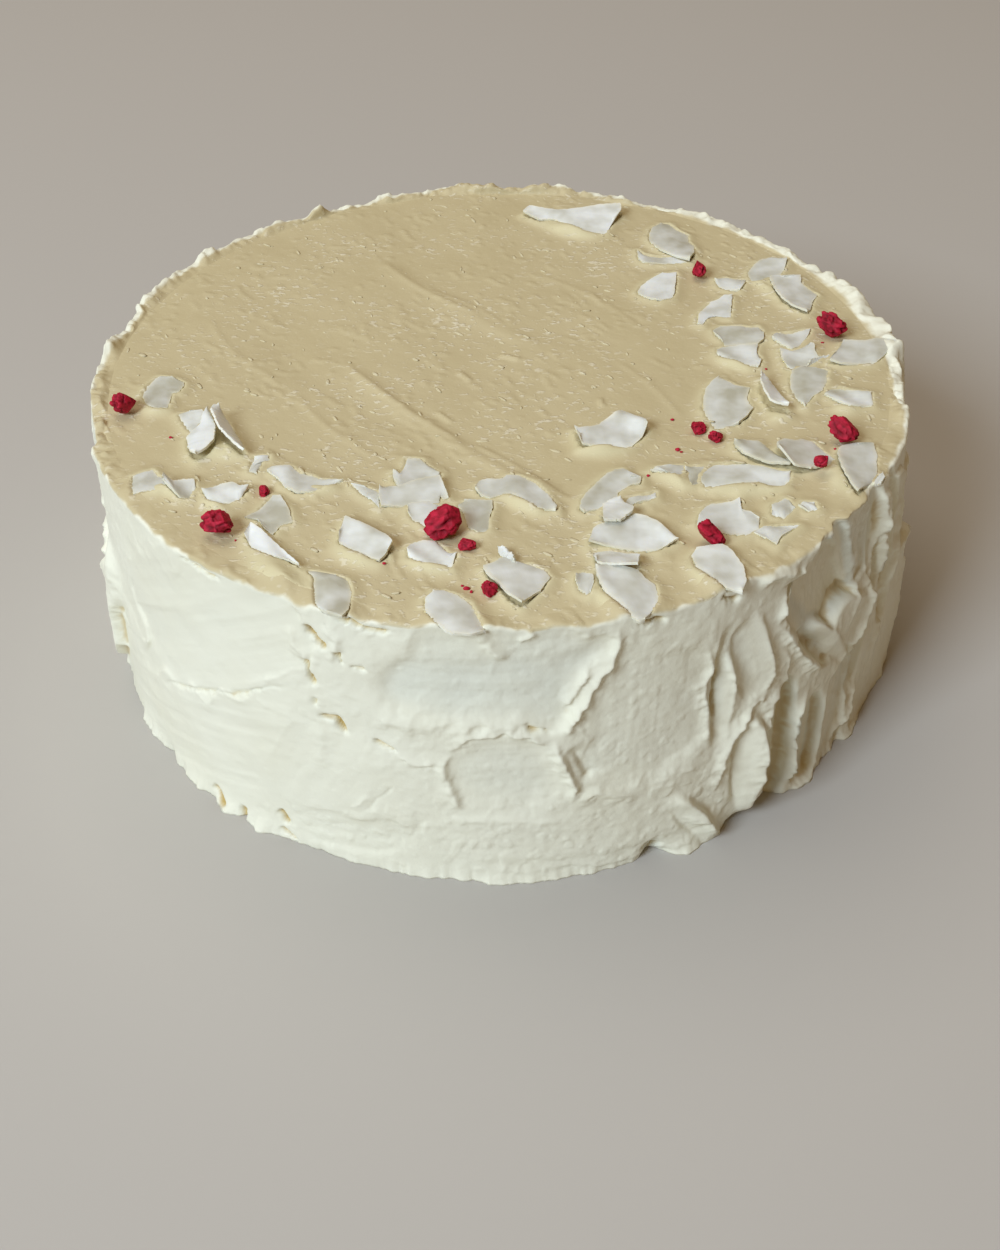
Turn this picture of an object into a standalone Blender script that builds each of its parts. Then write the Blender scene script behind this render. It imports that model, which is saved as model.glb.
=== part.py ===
"""A round cake, 24 cm across, frosted all over, with coconut chips and dried raspberry pieces on top."""

import math

import bmesh
import bpy
import numpy as np
from mathutils import Vector
from mathutils.bvhtree import BVHTree

# Driving dimensions, in metres
MM = 0.001
CAKE_HEIGHT = 0.0884
TOP_RADIUS = 0.120
FOOT_RADIUS = 0.1226
EDGE_ROUNDING = 0.0018
CHIP_THICKNESS = 0.0012
CONTACT_GAP = 0.00035

# How the frosting moves: ridges, the softness and raggedness of a stroke's edge, and the bands it moves in
RIDGE_WIDTH = 0.0022
EDGE_SOFTNESS = 0.0015
EDGE_RAGGED = 0.09
RIM_BAND = 0.010
LIP_WIDTH = 0.006
FOOT_BAND = 0.008
SIDE_SWELL_MM = 0.3
FOOT_SWELL_MM = 0.8
RIM_SWELL_MM = 0.25
TOP_SWELL_MM = 0.22
TOP_HOLLOW_MM = 0.7
TOP_HOLLOW_RADIUS_MM = 62

# Resolution of the solids
COLUMNS = 132
SIDE_ROWS = 14
TOP_RINGS_MM = (114.5, 107, 90, 62, 30)
CHIP_STATIONS = 7
CHIP_STRIPS = 3
LARGE_BALL = 3
SMALL_BALL = 2
MERGE_REACH = 0.00001
SHARP_CORNER = math.radians(50)

# Knife strokes round the side, each wiped over the ones before it. Turn from the front (degrees, right is
# plus), height (mm), heading (degrees, 0 goes right, 90 up), length, width, level out of the plain side, lean
# of the left edge outwards, hollow, ridge (mm), and the way the ridge is pushed (degrees, 0 right, 90 up)
SEEN_STROKES = (
    (-51, 18, 18, 112, 56, 0.6, 0.0, 0.4, 0.7, 90),
    (-77, 37, 84, 52, 42, 2.4, 0.4, 0.4, 1.2, 90),
    (-76, 66, 88, 44, 30, -0.2, 0.6, 0.8, 2.2, 270),
    (-25, 28, 62, 44, 26, 0.3, 0.0, 0.3, 0.9, -30),
    (-42, 62, 30, 82, 46, 0.1, 0.0, 1.1, 1.7, -60),
    (-20, 11, 8, 40, 14, -0.9, 0.0, 0.2, 1.0, 90),
    (-22, 39, 84, 22, 9, -1.3, -0.6, 0.3, 1.0, 180),
    (-16, 43, 10, 14, 12, 0.9, 0.0, 0.0, 0.6, 0),
    (102, 70, 4, 66, 38, 1.7, 0.0, 0.4, 1.0, 90),
    (67, 28, 90, 64, 44, 2.6, -2.8, 0.2, 0.8, 180),
    (68, 67, -20, 52, 28, 2.2, 0.3, 0.4, 0.9, -90),
    (12, 17, 0, 92, 30, 0.5, 0.0, 0.2, 0.7, 90),
    (0, 70, 2, 57, 36, -1.7, 0.2, 0.3, 1.5, 190),
    (1, 38, 5, 29, 27, -1.3, 0.0, 0.4, 1.9, 10),
    (18, 55, 86, 46, 39, -0.6, -0.5, 0.3, 1.0, 170),
    (47, 76, 0, 36, 26, -1.6, 0.0, 0.2, 0.9, -90),
    (52, 17, 88, 42, 16, -0.8, 0.2, 0.3, 1.0, 0),
    (28.5, 57, 88, 42, 7, -2.0, -0.4, 0.3, 0.8, 0),
    (33.5, 64, 102, 30, 12, -1.0, -0.5, 1.3, 2.4, -20),
    (44, 61, -56, 38, 21, -3.6, 0.8, 1.8, 2.8, 215),
    (54, 50, -36, 26, 15, 0.9, 0.6, 0.0, 1.4, -20),
    (48, 49, -50, 26, 6, 0.2, 1.2, 0.0, 0.9, 90),
    (38, 26, 90, 42, 10, -3.8, 0.0, 1.0, 1.2, 180),
    (33, 25, 92, 34, 11, 1.2, -2.4, 0.0, 0.3, 90),
    (45.5, 14, 84, 32, 10, -2.2, 0.0, 1.0, 0.9, 0),
    (41.5, 14, 80, 38, 6, 1.8, -1.8, 0.0, 0.3, 90),
    (25.5, 10, -56, 26, 7, 1.4, 1.8, 0.0, 0.3, 90),
)

# Strokes that carry on round the back, two bands of them, drawn at random
BACK_START = 82
BACK_END = 276
BACK_STEP = 16
BACK_BANDS_MM = (22, 64)

# Lumps and bays in the foot: turn, half width (degrees), reach out of the foot (mm)
FOOT_LUMPS = (
    (-60, 3, 2.0), (-47, 4, 1.5), (-40, 2.0, 3.6), (-34, 1.6, 2.6), (0, 14, 1.8), (19.5, 2.2, -4.5),
    (26, 3.5, 2.2), (36, 4.5, -6.0), (45, 2.5, 3.0), (58, 4, 2.5),
)

# The rim: turn, half width (degrees), rise (mm)
RIM_PEAKS = (
    (-148, 1.6, 3.0), (-140, 6, 1.2), (-126, 2.2, 2.6), (-112, 7, 1.6), (-96, 2.5, 2.4), (-84, 3, 1.2),
    (-176, 5, 2.2), (-162, 4, 1.4), (171, 6, 1.6), (158, 4, 1.2), (146, 3, 1.4), (130, 6, 0.9),
    (93, 2.0, 2.4), (76, 3, 1.3), (66, 3, 0.8), (106, 12, 1.3),
)

# Creases on the top: tail x, y, head x, y, bow, height, width (mm)
TOP_CREASES = (
    (-46, 3, 20, -70, -4, 0.55, 2.6),
    (-42, 70, 16, 9, -3, 0.40, 3.4),
    (-70, 20, -20, -38, -6, -0.35, 7.0),
    (20, 60, 60, -10, 8, -0.30, 9.0),
)

# Coconut chips, lowest of each pile first: tail x, y, head x, y, width, bow to the left of its heading (mm),
# squareness of tail and head (1 a point, 2 round, 5 square), broken edge, rise of the ends (mm), roll
# (degrees, plus lifts the left edge)
CHIPS = (
    (-98, -22, -97, -4, 9, -1, 4, 2, 0.9, 0.6, 0),
    (-86.5, -35, -87, -24, 9, 0, 1.5, 4, 0.7, 0.4, 0),
    (-83.5, -48.5, -82.5, -27, 8.5, -0.5, 1.8, 1.4, 0.5, 0.8, -14),
    (-71, -47, -79, -28, 6, -1, 1.3, 1.3, 0.4, 0.6, 48),
    (-98.5, -58, -89, -61, 9, 0, 3, 3, 0.8, 0.4, 0),
    (-90, -60, -81.5, -63, 9, 0, 3, 3, 0.9, 0.7, 0),
    (-80.5, -64.5, -67, -63.5, 7, -1, 2, 2, 0.4, 0.7, 12),
    (-62.5, -54, -42, -59.5, 9, -1.5, 3, 1.2, 0.5, 0.8, 0),
    (-60, -80, -59, -65.5, 11, 0, 2, 2, 1.8, 0.4, 0),
    (-66, -81, -47, -100, 6, -1, 1.6, 1.4, 0.5, 0.6, 16),
    (-42, -114, -43, -98, 9.5, 0, 2, 5, 0.5, 0.2, 0),
    (-41, -80, -28, -92, 11, 0.5, 3, 3, 0.7, 0.8, 11),
    (-28, -55, -15, -54, 12, 0, 3, 3, 1.4, 0.5, 0),
    (-32, -64, -14, -65.5, 7, 0, 2, 3, 0.7, 0.6, 0),
    (-24, -74, -15.5, -75, 7, 0, 3, 3, 0.6, 0.3, 0),
    (-6.5, -64, 15, -73, 9.5, 2.5, 2, 1.3, 0.5, 0.9, 0),
    (-5.5, -81.5, -6, -68.5, 8, 0, 2.5, 4, 0.6, 0.3, 0),
    (-24, -89.5, -11.5, -93.5, 8.5, 0, 2.5, 2.5, 0.6, 0.6, 0),
    (5, -112, 4, -95, 15, 0, 1.4, 4, 0.8, 0.8, 0),
    (-17, -107, -6, -120, 11.5, 1, 2.2, 2.2, 0.3, 0.5, 0),
    (22, -39.5, 41.5, -36, 11, -1.5, 3, 2, 0.7, 2.2, 8),
    (24, -72, 36, -57.5, 8, 1, 3, 2, 1.1, 0.5, 0),
    (36, -116, 25, -100.5, 12.5, 0, 1.8, 3, 0.4, 0.6, 0),
    (24, -94, 35, -96.5, 8.5, 0, 4, 3, 0.5, 0.3, 0),
    (23.5, -87, 45, -88, 12, 2.5, 1.6, 1.4, 0.5, 0.5, 9),
    (28, -82, 31, -69.5, 7, 0, 2, 2, 0.9, 0.4, 0),
    (10, 98, 41, 91, 13, -2, 1.5, 4, 0.9, 0.9, 8),
    (62, 63, 57, 87, 12, 0, 1.8, 3, 1.0, 0.9, 0),
    (52, 38, 55, 55.5, 10, 0, 4, 1.6, 0.5, 0.5, 0),
    (62.5, 24.5, 74, 39, 8, -1, 1.4, 2, 0.5, 0.6, 0),
    (70, 50, 79.5, 46, 6, 0, 2, 3, 0.6, 0.5, 0),
    (83, 49, 93.5, 62.5, 8, 0, 2.5, 3, 0.6, 0.5, 0),
    (95.5, 28, 93.5, 51.5, 11, 0, 1.6, 3, 0.8, 1.2, 8),
    (66.5, 4.5, 78.5, 1, 11, 0, 2, 3, 0.9, 0.4, 0),
    (66.5, 13.5, 80.5, 15, 11, 0, 3, 3, 0.9, 0.6, 0),
    (86.5, -3, 93, 5, 9, 0, 2.5, 3, 0.6, 0.3, 0),
    (84.5, 13, 96, 14, 10, 0, 2, 2, 0.8, 0.5, 0),
    (100, 0, 117, 4.5, 11.5, 0, 3, 2.5, 0.5, 0.9, 6),
    (66, -34, 65, -10, 14, 0.5, 2.5, 2, 1.1, 0.9, 0),
    (82.5, -30, 77.5, -11, 8, 0, 1.2, 1.4, 0.3, 0.4, 38),
    (88, -25, 91, -5.5, 12, 0, 1.3, 5, 0.5, 0.7, 0),
    (94.5, -19.5, 107.5, -22, 8, 0.5, 2, 3, 0.7, 0.3, 0),
    (66, -44, 79, -51, 10, 0, 3, 3, 0.6, 0.5, -7),
    (78, -50, 91.5, -50.5, 12, 0, 3, 3, 0.8, 0.5, 0),
    (55, -59, 78.5, -58, 10, -0.5, 3, 1.8, 0.7, 0.5, 0),
    (95.5, -67, 99, -46, 10, 0.5, 1.3, 4, 0.5, 0.8, 12),
    (50.5, -62.5, 52.5, -53.5, 5.5, 0, 2, 3, 0.4, 0.3, 0),
    (51.5, -78, 67, -78, 12, 0.5, 3, 3, 1.1, 0.6, 0),
    (50, -91.5, 60, -107.5, 11, 1, 2.2, 2.0, 0.3, 0.6, 5),
)

# Small flakes sunk in the frosting, written as the chips are
FLAKES = (
    (-67, -55, -66, -45, 5, 0, 2, 2, 0.4, 0, 0),
    (-38, -62.5, -31, -70, 6, 0, 3, 3, 0.5, 0, 0),
    (18.5, -101, 22.5, -107.5, 4, 0, 2, 2, 0.3, 0, 0),
    (35.5, -67, 42, -69, 4.5, 0, 2, 3, 0.4, 0, 0),
    (47, 69, 60, 63, 6, 0, 2, 2, 0.6, 0, 0),
    (40.5, -56.5, 48, -55.5, 4, 0, 2, 2, 0.4, 0, 0),
    (101, -59, 103, -63.5, 3.5, 0, 2, 2, 0.2, 0, 0),
    (70.5, -75, 77, -73, 6, 0, 3, 2, 0.5, 0, 0),
    (64.5, -85, 78, -83.5, 5, 0, 2, 1.4, 0.4, 0, 0),
    (78.5, -73.5, 83.5, -71.5, 3.5, 0, 2, 2, 0.2, 0, 0),
)

# Raspberry pieces: x, y, width, depth, height (mm)
RASPBERRIES = (
    (-106.5, -24, 8, 7, 7.5),
    (-72.5, -81, 9, 8, 8.0),
    (-14.5, -82, 10.5, 9.5, 8.5),
    (65, 52, 5.5, 6.5, 6.0),
    (101, 14, 9.5, 8, 8.0),
    (95, -43, 9.5, 8, 8.0),
    (86, -58, 4.5, 4.5, 4.6),
    (53.5, -87, 8.5, 6.5, 6.5),
)

# Small raspberry pieces sunk in the frosting, written alike
RASPBERRY_BITS = (
    (-63, -63.5, 3.6, 3.6, 3.2),
    (-8.5, -88, 4.8, 4.2, 3.6),
    (-3, -106, 4.5, 4.5, 3.8),
    (55.5, -36, 5.2, 4.8, 3.8),
    (60, -40.5, 4.4, 4.4, 3.4),
)

DRUPELET_SIZE = 0.0022
FEWEST_DRUPELETS = 7
LARGE_PIECE_MM = 7
BIT_SINK = 0.0006

# Laying: how finely a triangle is probed, the steepest lean that is tried, and the number of leans each way
PROBE_STEPS = 4
STEEPEST_LEAN = 0.36
LEANS = 37


def remove_everything():
    """Clears the scene's objects, so that the script can run again in the same file."""
    for thing in list(bpy.data.objects):
        bpy.data.objects.remove(thing, do_unlink=True)


def new_collection(name):
    """An empty collection linked to the scene."""
    collection = bpy.data.collections.new(name)
    bpy.context.scene.collection.children.link(collection)
    return collection


def plain_material(name, colour, roughness):
    """A Principled material of one colour."""
    material = bpy.data.materials.new(name)
    material.use_nodes = True
    shader = material.node_tree.nodes["Principled BSDF"]
    shader.inputs["Base Color"].default_value = (*colour, 1.0)
    shader.inputs["Roughness"].default_value = roughness
    shader.inputs["Metallic"].default_value = 0.0
    material.diffuse_color = (*colour, 1.0)
    return material


def smooth_step(value):
    """Rises softly from 0 to 1 as the value does."""
    value = np.clip(value, 0.0, 1.0)
    return value * value * (3.0 - 2.0 * value)


def waves(points, wavelength, seed, count=9):
    """Seamless roughness near -1 to 1: plane waves of about one length, in random directions, summed."""
    rng = np.random.default_rng(seed)
    directions = rng.normal(size=(count, 3))
    directions /= np.linalg.norm(directions, axis=1, keepdims=True)
    lengths = wavelength * rng.uniform(0.7, 1.4, count)
    phases = rng.uniform(0.0, 2.0 * math.pi, count)
    turns = 2.0 * math.pi * directions / lengths[:, None]
    return np.sin(points @ turns.T + phases).sum(axis=-1) / math.sqrt(count)


def turned_away(turn, degrees):
    """Angle between a turn and a place given in degrees, the short way round."""
    return (turn - math.radians(degrees) + math.pi) % (2.0 * math.pi) - math.pi


def back_strokes():
    """The strokes that the front doesn't show, two overlapping bands with random headings and levels."""
    rng = np.random.default_rng(31)
    strokes = []
    for turn in range(BACK_START, BACK_END, BACK_STEP):
        for band in BACK_BANDS_MM:
            strokes.append((
                turn + rng.uniform(-5, 5), band + rng.uniform(-9, 9), rng.choice((20, -30, 70, 90)),
                rng.uniform(40, 66), rng.uniform(26, 42), rng.uniform(-1.8, 0.8), rng.uniform(-0.6, 0.6),
                rng.uniform(0.2, 1.2), rng.uniform(0.9, 2.4), rng.uniform(-120, 120),
            ))
    return tuple(strokes)


def wipe(relief, turn, height, warp, stroke):
    """Wipes one stroke: its rounded patch takes the blade's level, and a ridge piles up round it."""
    at_turn, at_height, heading, length, width, level, lean, hollow, ridge, toward = stroke
    across = turned_away(turn, at_turn) * FOOT_RADIUS
    up = height - at_height * MM
    cosine = math.cos(math.radians(heading))
    sine = math.sin(math.radians(heading))
    along = (across * cosine + up * sine) / (length * MM / 2)
    aside = (up * cosine - across * sine) / (width * MM / 2)
    edge = (along ** 4 + aside ** 4) ** 0.25 + EDGE_RAGGED * warp
    reach = (edge - 1.0) * width * MM / 2
    inside = 0.5 - 0.5 * np.tanh(reach / EDGE_SOFTNESS)
    bounded = np.clip(aside, -1.2, 1.2)
    blade = (level + lean * bounded - hollow * (1.0 - bounded ** 2)) * MM
    push = np.clip(np.cos(np.arctan2(up, across) - math.radians(toward)), 0.0, 1.0)
    pile = ridge * MM * (0.25 + 0.75 * push) * np.exp(-(reach / RIDGE_WIDTH) ** 2)
    return relief * (1.0 - inside) + blade * inside + pile


def side_relief(turn, height):
    """How far the frosting stands out of the plain side at a turn and a height."""
    points = np.stack([FOOT_RADIUS * np.sin(turn), -FOOT_RADIUS * np.cos(turn), height], axis=-1)
    relief = SIDE_SWELL_MM * MM * waves(points, 34 * MM, 1)
    warp = waves(points, 16 * MM, 2)
    for stroke in back_strokes() + SEEN_STROKES:
        relief = wipe(relief, turn, height, warp, stroke)
    return relief


def bumps(turn, places):
    """A row of smooth bumps round the cake, each a bell of its own half width."""
    total = np.zeros_like(turn)
    for at_turn, half_width, rise in places:
        total += rise * MM * np.exp(-(turned_away(turn, at_turn) / math.radians(half_width)) ** 2)
    return total


def crease(x, y, line):
    """A low ridge, or a groove, along a bowed line on the top."""
    tail_x, tail_y, head_x, head_y, bow, height, width = (value * MM for value in line)
    length = math.hypot(head_x - tail_x, head_y - tail_y)
    cosine = (head_x - tail_x) / length
    sine = (head_y - tail_y) / length
    along = ((x - tail_x) * cosine + (y - tail_y) * sine) / length
    aside = (y - tail_y) * cosine - (x - tail_x) * sine - 4.0 * bow * along * (1.0 - along)
    ends = smooth_step(along / 0.15) * smooth_step((1.0 - along) / 0.15)
    return height * ends * np.exp(-(aside / width) ** 2)


def top_relief(x, y):
    """The top's own relief: a shallow hollow, long low swells and the knife's creases."""
    points = np.stack([x, y, np.zeros_like(x)], axis=-1)
    hollow = np.exp(-(x * x + y * y) / (TOP_HOLLOW_RADIUS_MM * MM) ** 2)
    relief = TOP_SWELL_MM * MM * waves(points, 46 * MM, 3) - TOP_HOLLOW_MM * MM * hollow
    for line in TOP_CREASES:
        relief = relief + crease(x, y, line)
    return relief


def frost(turn, radius, height):
    """Moves points of the plain turned cake to the frosted surface."""
    near_top = smooth_step((height - (CAKE_HEIGHT - RIM_BAND)) / RIM_BAND)
    outside = smooth_step((radius - (TOP_RADIUS - LIP_WIDTH)) / (0.6 * LIP_WIDTH))
    near_foot = np.clip(1.0 - height / FOOT_BAND, 0.0, 1.0) ** 2
    ring = np.stack([FOOT_RADIUS * np.sin(turn), -FOOT_RADIUS * np.cos(turn), np.zeros_like(turn)], axis=-1)
    foot = bumps(turn, FOOT_LUMPS) + FOOT_SWELL_MM * MM * waves(ring, 9 * MM, 4)
    rim = bumps(turn, RIM_PEAKS) + RIM_SWELL_MM * MM * waves(ring, 11 * MM, 5)
    moved = radius + outside * side_relief(turn, height) + near_foot * np.where(radius > 0, foot, 0.0)
    x = moved * np.sin(turn)
    y = -moved * np.cos(turn)
    lifted = height + near_top * (outside * rim + top_relief(x, y))
    return np.stack([x, y, lifted], axis=-1)


def plain_profile():
    """Half section of the plain cake, from the foot's middle round the edge to the top's middle."""
    points = [(0.0, 0.0)]
    shoulder = CAKE_HEIGHT - EDGE_ROUNDING
    for row in range(SIDE_ROWS + 1):
        share = row / SIDE_ROWS
        points.append((FOOT_RADIUS + (TOP_RADIUS - FOOT_RADIUS) * share, shoulder * share))
    for angle in (math.pi / 4, math.pi / 2):
        inwards = EDGE_ROUNDING * (1 - math.cos(angle))
        points.append((TOP_RADIUS - inwards, shoulder + EDGE_ROUNDING * math.sin(angle)))
    points += [(ring * MM, CAKE_HEIGHT) for ring in TOP_RINGS_MM]
    points.append((0.0, CAKE_HEIGHT))
    return points


def mesh_object(name, mesh, material, collection):
    """An object for a mesh, in its material and collection."""
    thing = bpy.data.objects.new(name, mesh)
    mesh.materials.clear()
    mesh.materials.append(material)
    collection.objects.link(thing)
    return thing


def applied(thing):
    """A copy of an object's mesh with its modifiers applied."""
    graph = bpy.context.evaluated_depsgraph_get()
    return bpy.data.meshes.new_from_object(thing.evaluated_get(graph))


def turned_cake(material, collection):
    """The plain cake, turned from its half section by a Screw, then frosted point by point."""
    profile = plain_profile()
    outline = bpy.data.meshes.new("half section")
    edges = [(index, index + 1) for index in range(len(profile) - 1)]
    outline.from_pydata([(radius, 0.0, height) for radius, height in profile], edges, [])
    blank = mesh_object("half section", outline, material, collection)
    screw = blank.modifiers.new("turn", "SCREW")
    screw.steps = COLUMNS
    screw.render_steps = COLUMNS
    screw.use_merge_vertices = True
    screw.merge_threshold = MERGE_REACH
    mesh = applied(blank)
    bpy.data.objects.remove(blank)
    points = np.array([tuple(vertex.co) for vertex in mesh.vertices])
    radius = np.hypot(points[:, 0], points[:, 1])
    turn = np.arctan2(points[:, 0], -points[:, 1])
    mesh.vertices.foreach_set("co", frost(turn, radius, points[:, 2]).ravel())
    form = bmesh.new()
    form.from_mesh(mesh)
    bmesh.ops.remove_doubles(form, verts=form.verts, dist=MERGE_REACH)
    bmesh.ops.triangulate(form, faces=form.faces)
    bmesh.ops.recalc_face_normals(form, faces=form.faces)
    form.to_mesh(mesh)
    form.free()
    return mesh_object("cake", mesh, material, collection)


def chip_points(chip, seed, along, aside):
    """A chip's sheet: a bowed middle line, broken edges that close as a superellipse, and ends that rise."""
    tail_x, tail_y, head_x, head_y, width, bow, tail_square, head_square, ragged, rise, roll = chip
    length = math.hypot(head_x - tail_x, head_y - tail_y)
    cosine = (head_x - tail_x) / length
    sine = (head_y - tail_y) / length
    rng = np.random.default_rng(seed)
    stations = np.linspace(-1.0, 1.0, 8)
    left_break = np.interp(along, stations, rng.uniform(-1.0, 1.0, 8)) * ragged
    right_break = np.interp(along, stations, rng.uniform(-1.0, 1.0, 8)) * ragged
    phase = rng.uniform(0.0, 2.0 * math.pi)
    square = np.where(along < 0.0, tail_square, head_square)
    half = width / 2 * np.clip(1.0 - np.abs(along) ** square, 0.0, 1.0) ** (1.0 / square)
    broken = np.where(aside > 0.0, left_break, right_break)
    spread = np.maximum(half + broken * smooth_step(half / 2.0), 0.5) * aside
    forward = along * length / 2
    sideways = bow * (1.0 - along ** 2) + spread * math.cos(math.radians(roll))
    x = (tail_x + head_x) / 2 + forward * cosine - sideways * sine
    y = (tail_y + head_y) / 2 + forward * sine + sideways * cosine
    wave = 0.25 * np.sin(phase + 2.6 * along) * aside
    z = rise * along ** 2 + wave + spread * math.sin(math.radians(roll))
    return np.stack([x, y, z], axis=-1) * MM


def chip_form(chip, seed, thickness):
    """A grid shaped as the chip's sheet, split into triangles and given its thickness."""
    form = bmesh.new()
    bmesh.ops.create_grid(form, x_segments=CHIP_STATIONS - 1, y_segments=CHIP_STRIPS - 1, size=1.0)
    along = np.array([vertex.co.x for vertex in form.verts])
    aside = np.array([vertex.co.y for vertex in form.verts])
    for vertex, place in zip(form.verts, chip_points(chip, seed, along, aside)):
        vertex.co = place
    bmesh.ops.triangulate(form, faces=form.faces)
    form.normal_update()
    bmesh.ops.solidify(form, geom=form.faces[:], thickness=thickness)
    bmesh.ops.triangulate(form, faces=form.faces)
    bmesh.ops.recalc_face_normals(form, faces=form.faces)
    return form


def raspberry_form(size, seed, detail):
    """A ball stretched to the piece's size, swollen into a drupelet round each of some random directions."""
    x, y, width, depth, height = (value * MM for value in size)
    form = bmesh.new()
    bmesh.ops.create_icosphere(form, subdivisions=detail, radius=1.0)
    rng = np.random.default_rng(seed)
    mean_size = (width + depth + height) / 3
    count = max(FEWEST_DRUPELETS, round(3.2 * (mean_size / DRUPELET_SIZE) ** 2))
    seeds = rng.normal(size=(count, 3))
    seeds /= np.linalg.norm(seeds, axis=1, keepdims=True)
    directions = np.array([tuple(vertex.co.normalized()) for vertex in form.verts])
    nearest = (directions @ seeds.T).max(axis=1)
    off_middle = np.clip(np.arccos(np.clip(nearest, -1.0, 1.0)) * math.sqrt(count) / 2.2, 0.0, 1.0)
    swell = (1.0 - 0.30 * off_middle ** 2) * (1.0 + 0.10 * waves(directions, 1.6, seed))
    half = np.array([width, depth, height]) / 2
    for vertex, direction, radius in zip(form.verts, directions, swell):
        vertex.co = Vector(direction * radius * half) + Vector((x, y, 0.0))
    bmesh.ops.triangulate(form, faces=form.faces)
    bmesh.ops.recalc_face_normals(form, faces=form.faces)
    return form


class Pile:
    """What already lies on the cake, to lay the next piece on."""

    def __init__(self, mesh):
        self.trees = []
        self.add(mesh)

    def add(self, mesh):
        """Takes a laid mesh in, with its reach in plan."""
        points = np.array([tuple(vertex.co) for vertex in mesh.vertices])
        faces = [tuple(face.vertices) for face in mesh.polygons]
        tree = BVHTree.FromPolygons([Vector(point) for point in points], faces)
        self.trees.append((points[:, :2].min(axis=0), points[:, :2].max(axis=0), tree))

    def height(self, x, y):
        """Highest surface at a place, seen from above."""
        highest = 0.0
        start = Vector((x, y, 2 * CAKE_HEIGHT))
        for low, high, tree in self.trees:
            if low[0] <= x <= high[0] and low[1] <= y <= high[1]:
                hit = tree.ray_cast(start, Vector((0.0, 0.0, -1.0)))[0]
                if hit is not None:
                    highest = max(highest, hit.z)
        return highest


def spots(form):
    """Corners, and points spread over each triangle of a form, as one array."""
    pairs = [(i, j) for i in range(PROBE_STEPS + 1) for j in range(PROBE_STEPS + 1 - i)]
    shares = [(i / PROBE_STEPS, j / PROBE_STEPS, 1 - (i + j) / PROBE_STEPS) for i, j in pairs]
    corners = np.array([[tuple(vertex.co) for vertex in face.verts] for face in form.faces])
    return np.einsum("sk,fkc->fsc", np.array(shares), corners).reshape(-1, 3)


def lay(form, pile, gap, tips):
    """Lowers a form until it keeps the gap to what lies below, tipped to where its middle is lowest."""
    places = spots(form)
    ground = np.array([pile.height(x, y) for x, y, z in places])
    middle = places[:, :2].mean(axis=0)
    offset = places[:, :2] - middle
    need = ground + gap - places[:, 2]
    slopes = np.linspace(-STEEPEST_LEAN, STEEPEST_LEAN, LEANS) if tips else np.zeros(1)
    slope_x, slope_y = np.meshgrid(slopes, slopes)
    lift = (need[:, None] - offset @ np.stack([slope_x.ravel(), slope_y.ravel()])).max(axis=0)
    best = int(np.argmin(lift))
    lean_x = slope_x.ravel()[best]
    lean_y = slope_y.ravel()[best]
    for vertex in form.verts:
        lean = lean_x * (vertex.co.x - middle[0]) + lean_y * (vertex.co.y - middle[1])
        vertex.co.z += lift[best] + lean


def finished(form, name, material, collection):
    """Writes a form to a mesh and an object, and shades its round parts smooth."""
    mesh = bpy.data.meshes.new(name)
    form.to_mesh(mesh)
    form.free()
    mesh.shade_smooth()
    mesh.set_sharp_from_angle(angle=SHARP_CORNER)
    return mesh_object(name, mesh, material, collection)


def fuse(cake, extras):
    """Joins a collection's pieces to the cake for good, and removes them."""
    union = cake.modifiers.new("small toppings", "BOOLEAN")
    union.operation = "UNION"
    union.operand_type = "COLLECTION"
    union.collection = extras
    union.solver = "EXACT"
    bpy.context.view_layer.update()
    joined = applied(cake)
    cake.modifiers.clear()
    cake.data = joined
    for piece in list(extras.objects):
        bpy.data.objects.remove(piece)
    bpy.data.collections.remove(extras)


def build():
    """The cake first, then what is sunk in it, then the chips and raspberry pieces laid on it in turn."""
    remove_everything()
    model = new_collection("frosted cake")
    extras = new_collection("small toppings")
    frosting = plain_material("cream frosting", (0.87, 0.82, 0.66), 0.5)
    coconut = plain_material("coconut chips", (0.86, 0.84, 0.77), 0.45)
    raspberry = plain_material("freeze-dried raspberry", (0.40, 0.015, 0.04), 0.65)
    cake = turned_cake(frosting, model)
    pile = Pile(cake.data)
    for number, flake in enumerate(FLAKES):
        form = chip_form(flake, 500 + number, 1.5 * CHIP_THICKNESS)
        lay(form, pile, -BIT_SINK, tips=True)
        finished(form, f"flake_{number + 1:02d}", frosting, extras)
    for number, size in enumerate(RASPBERRY_BITS):
        form = raspberry_form(size, 700 + number, SMALL_BALL)
        lay(form, pile, -BIT_SINK, tips=False)
        finished(form, f"bit_{number + 1:02d}", frosting, extras)
    fuse(cake, extras)
    cake.data.shade_smooth()
    cake.data.set_sharp_from_angle(angle=SHARP_CORNER)
    pile = Pile(cake.data)
    for number, chip in enumerate(CHIPS):
        form = chip_form(chip, 100 + number, CHIP_THICKNESS)
        lay(form, pile, CONTACT_GAP, tips=chip[-1] == 0)
        piece = finished(form, f"coconut_chip_{number + 1:02d}", coconut, model)
        pile.add(piece.data)
    for number, size in enumerate(RASPBERRIES):
        detail = LARGE_BALL if size[2] > LARGE_PIECE_MM else SMALL_BALL
        form = raspberry_form(size, 300 + number, detail)
        lay(form, pile, CONTACT_GAP, tips=False)
        piece = finished(form, f"raspberry_piece_{number + 1:02d}", raspberry, model)
        pile.add(piece.data)


build()
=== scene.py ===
"""Looks of the layer cake: spread cream frosting, dried coconut chips and freeze-dried raspberry pieces."""

import math

import bpy
import numpy as np
from mathutils import Matrix, Vector
from mathutils.bvhtree import BVHTree


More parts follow.
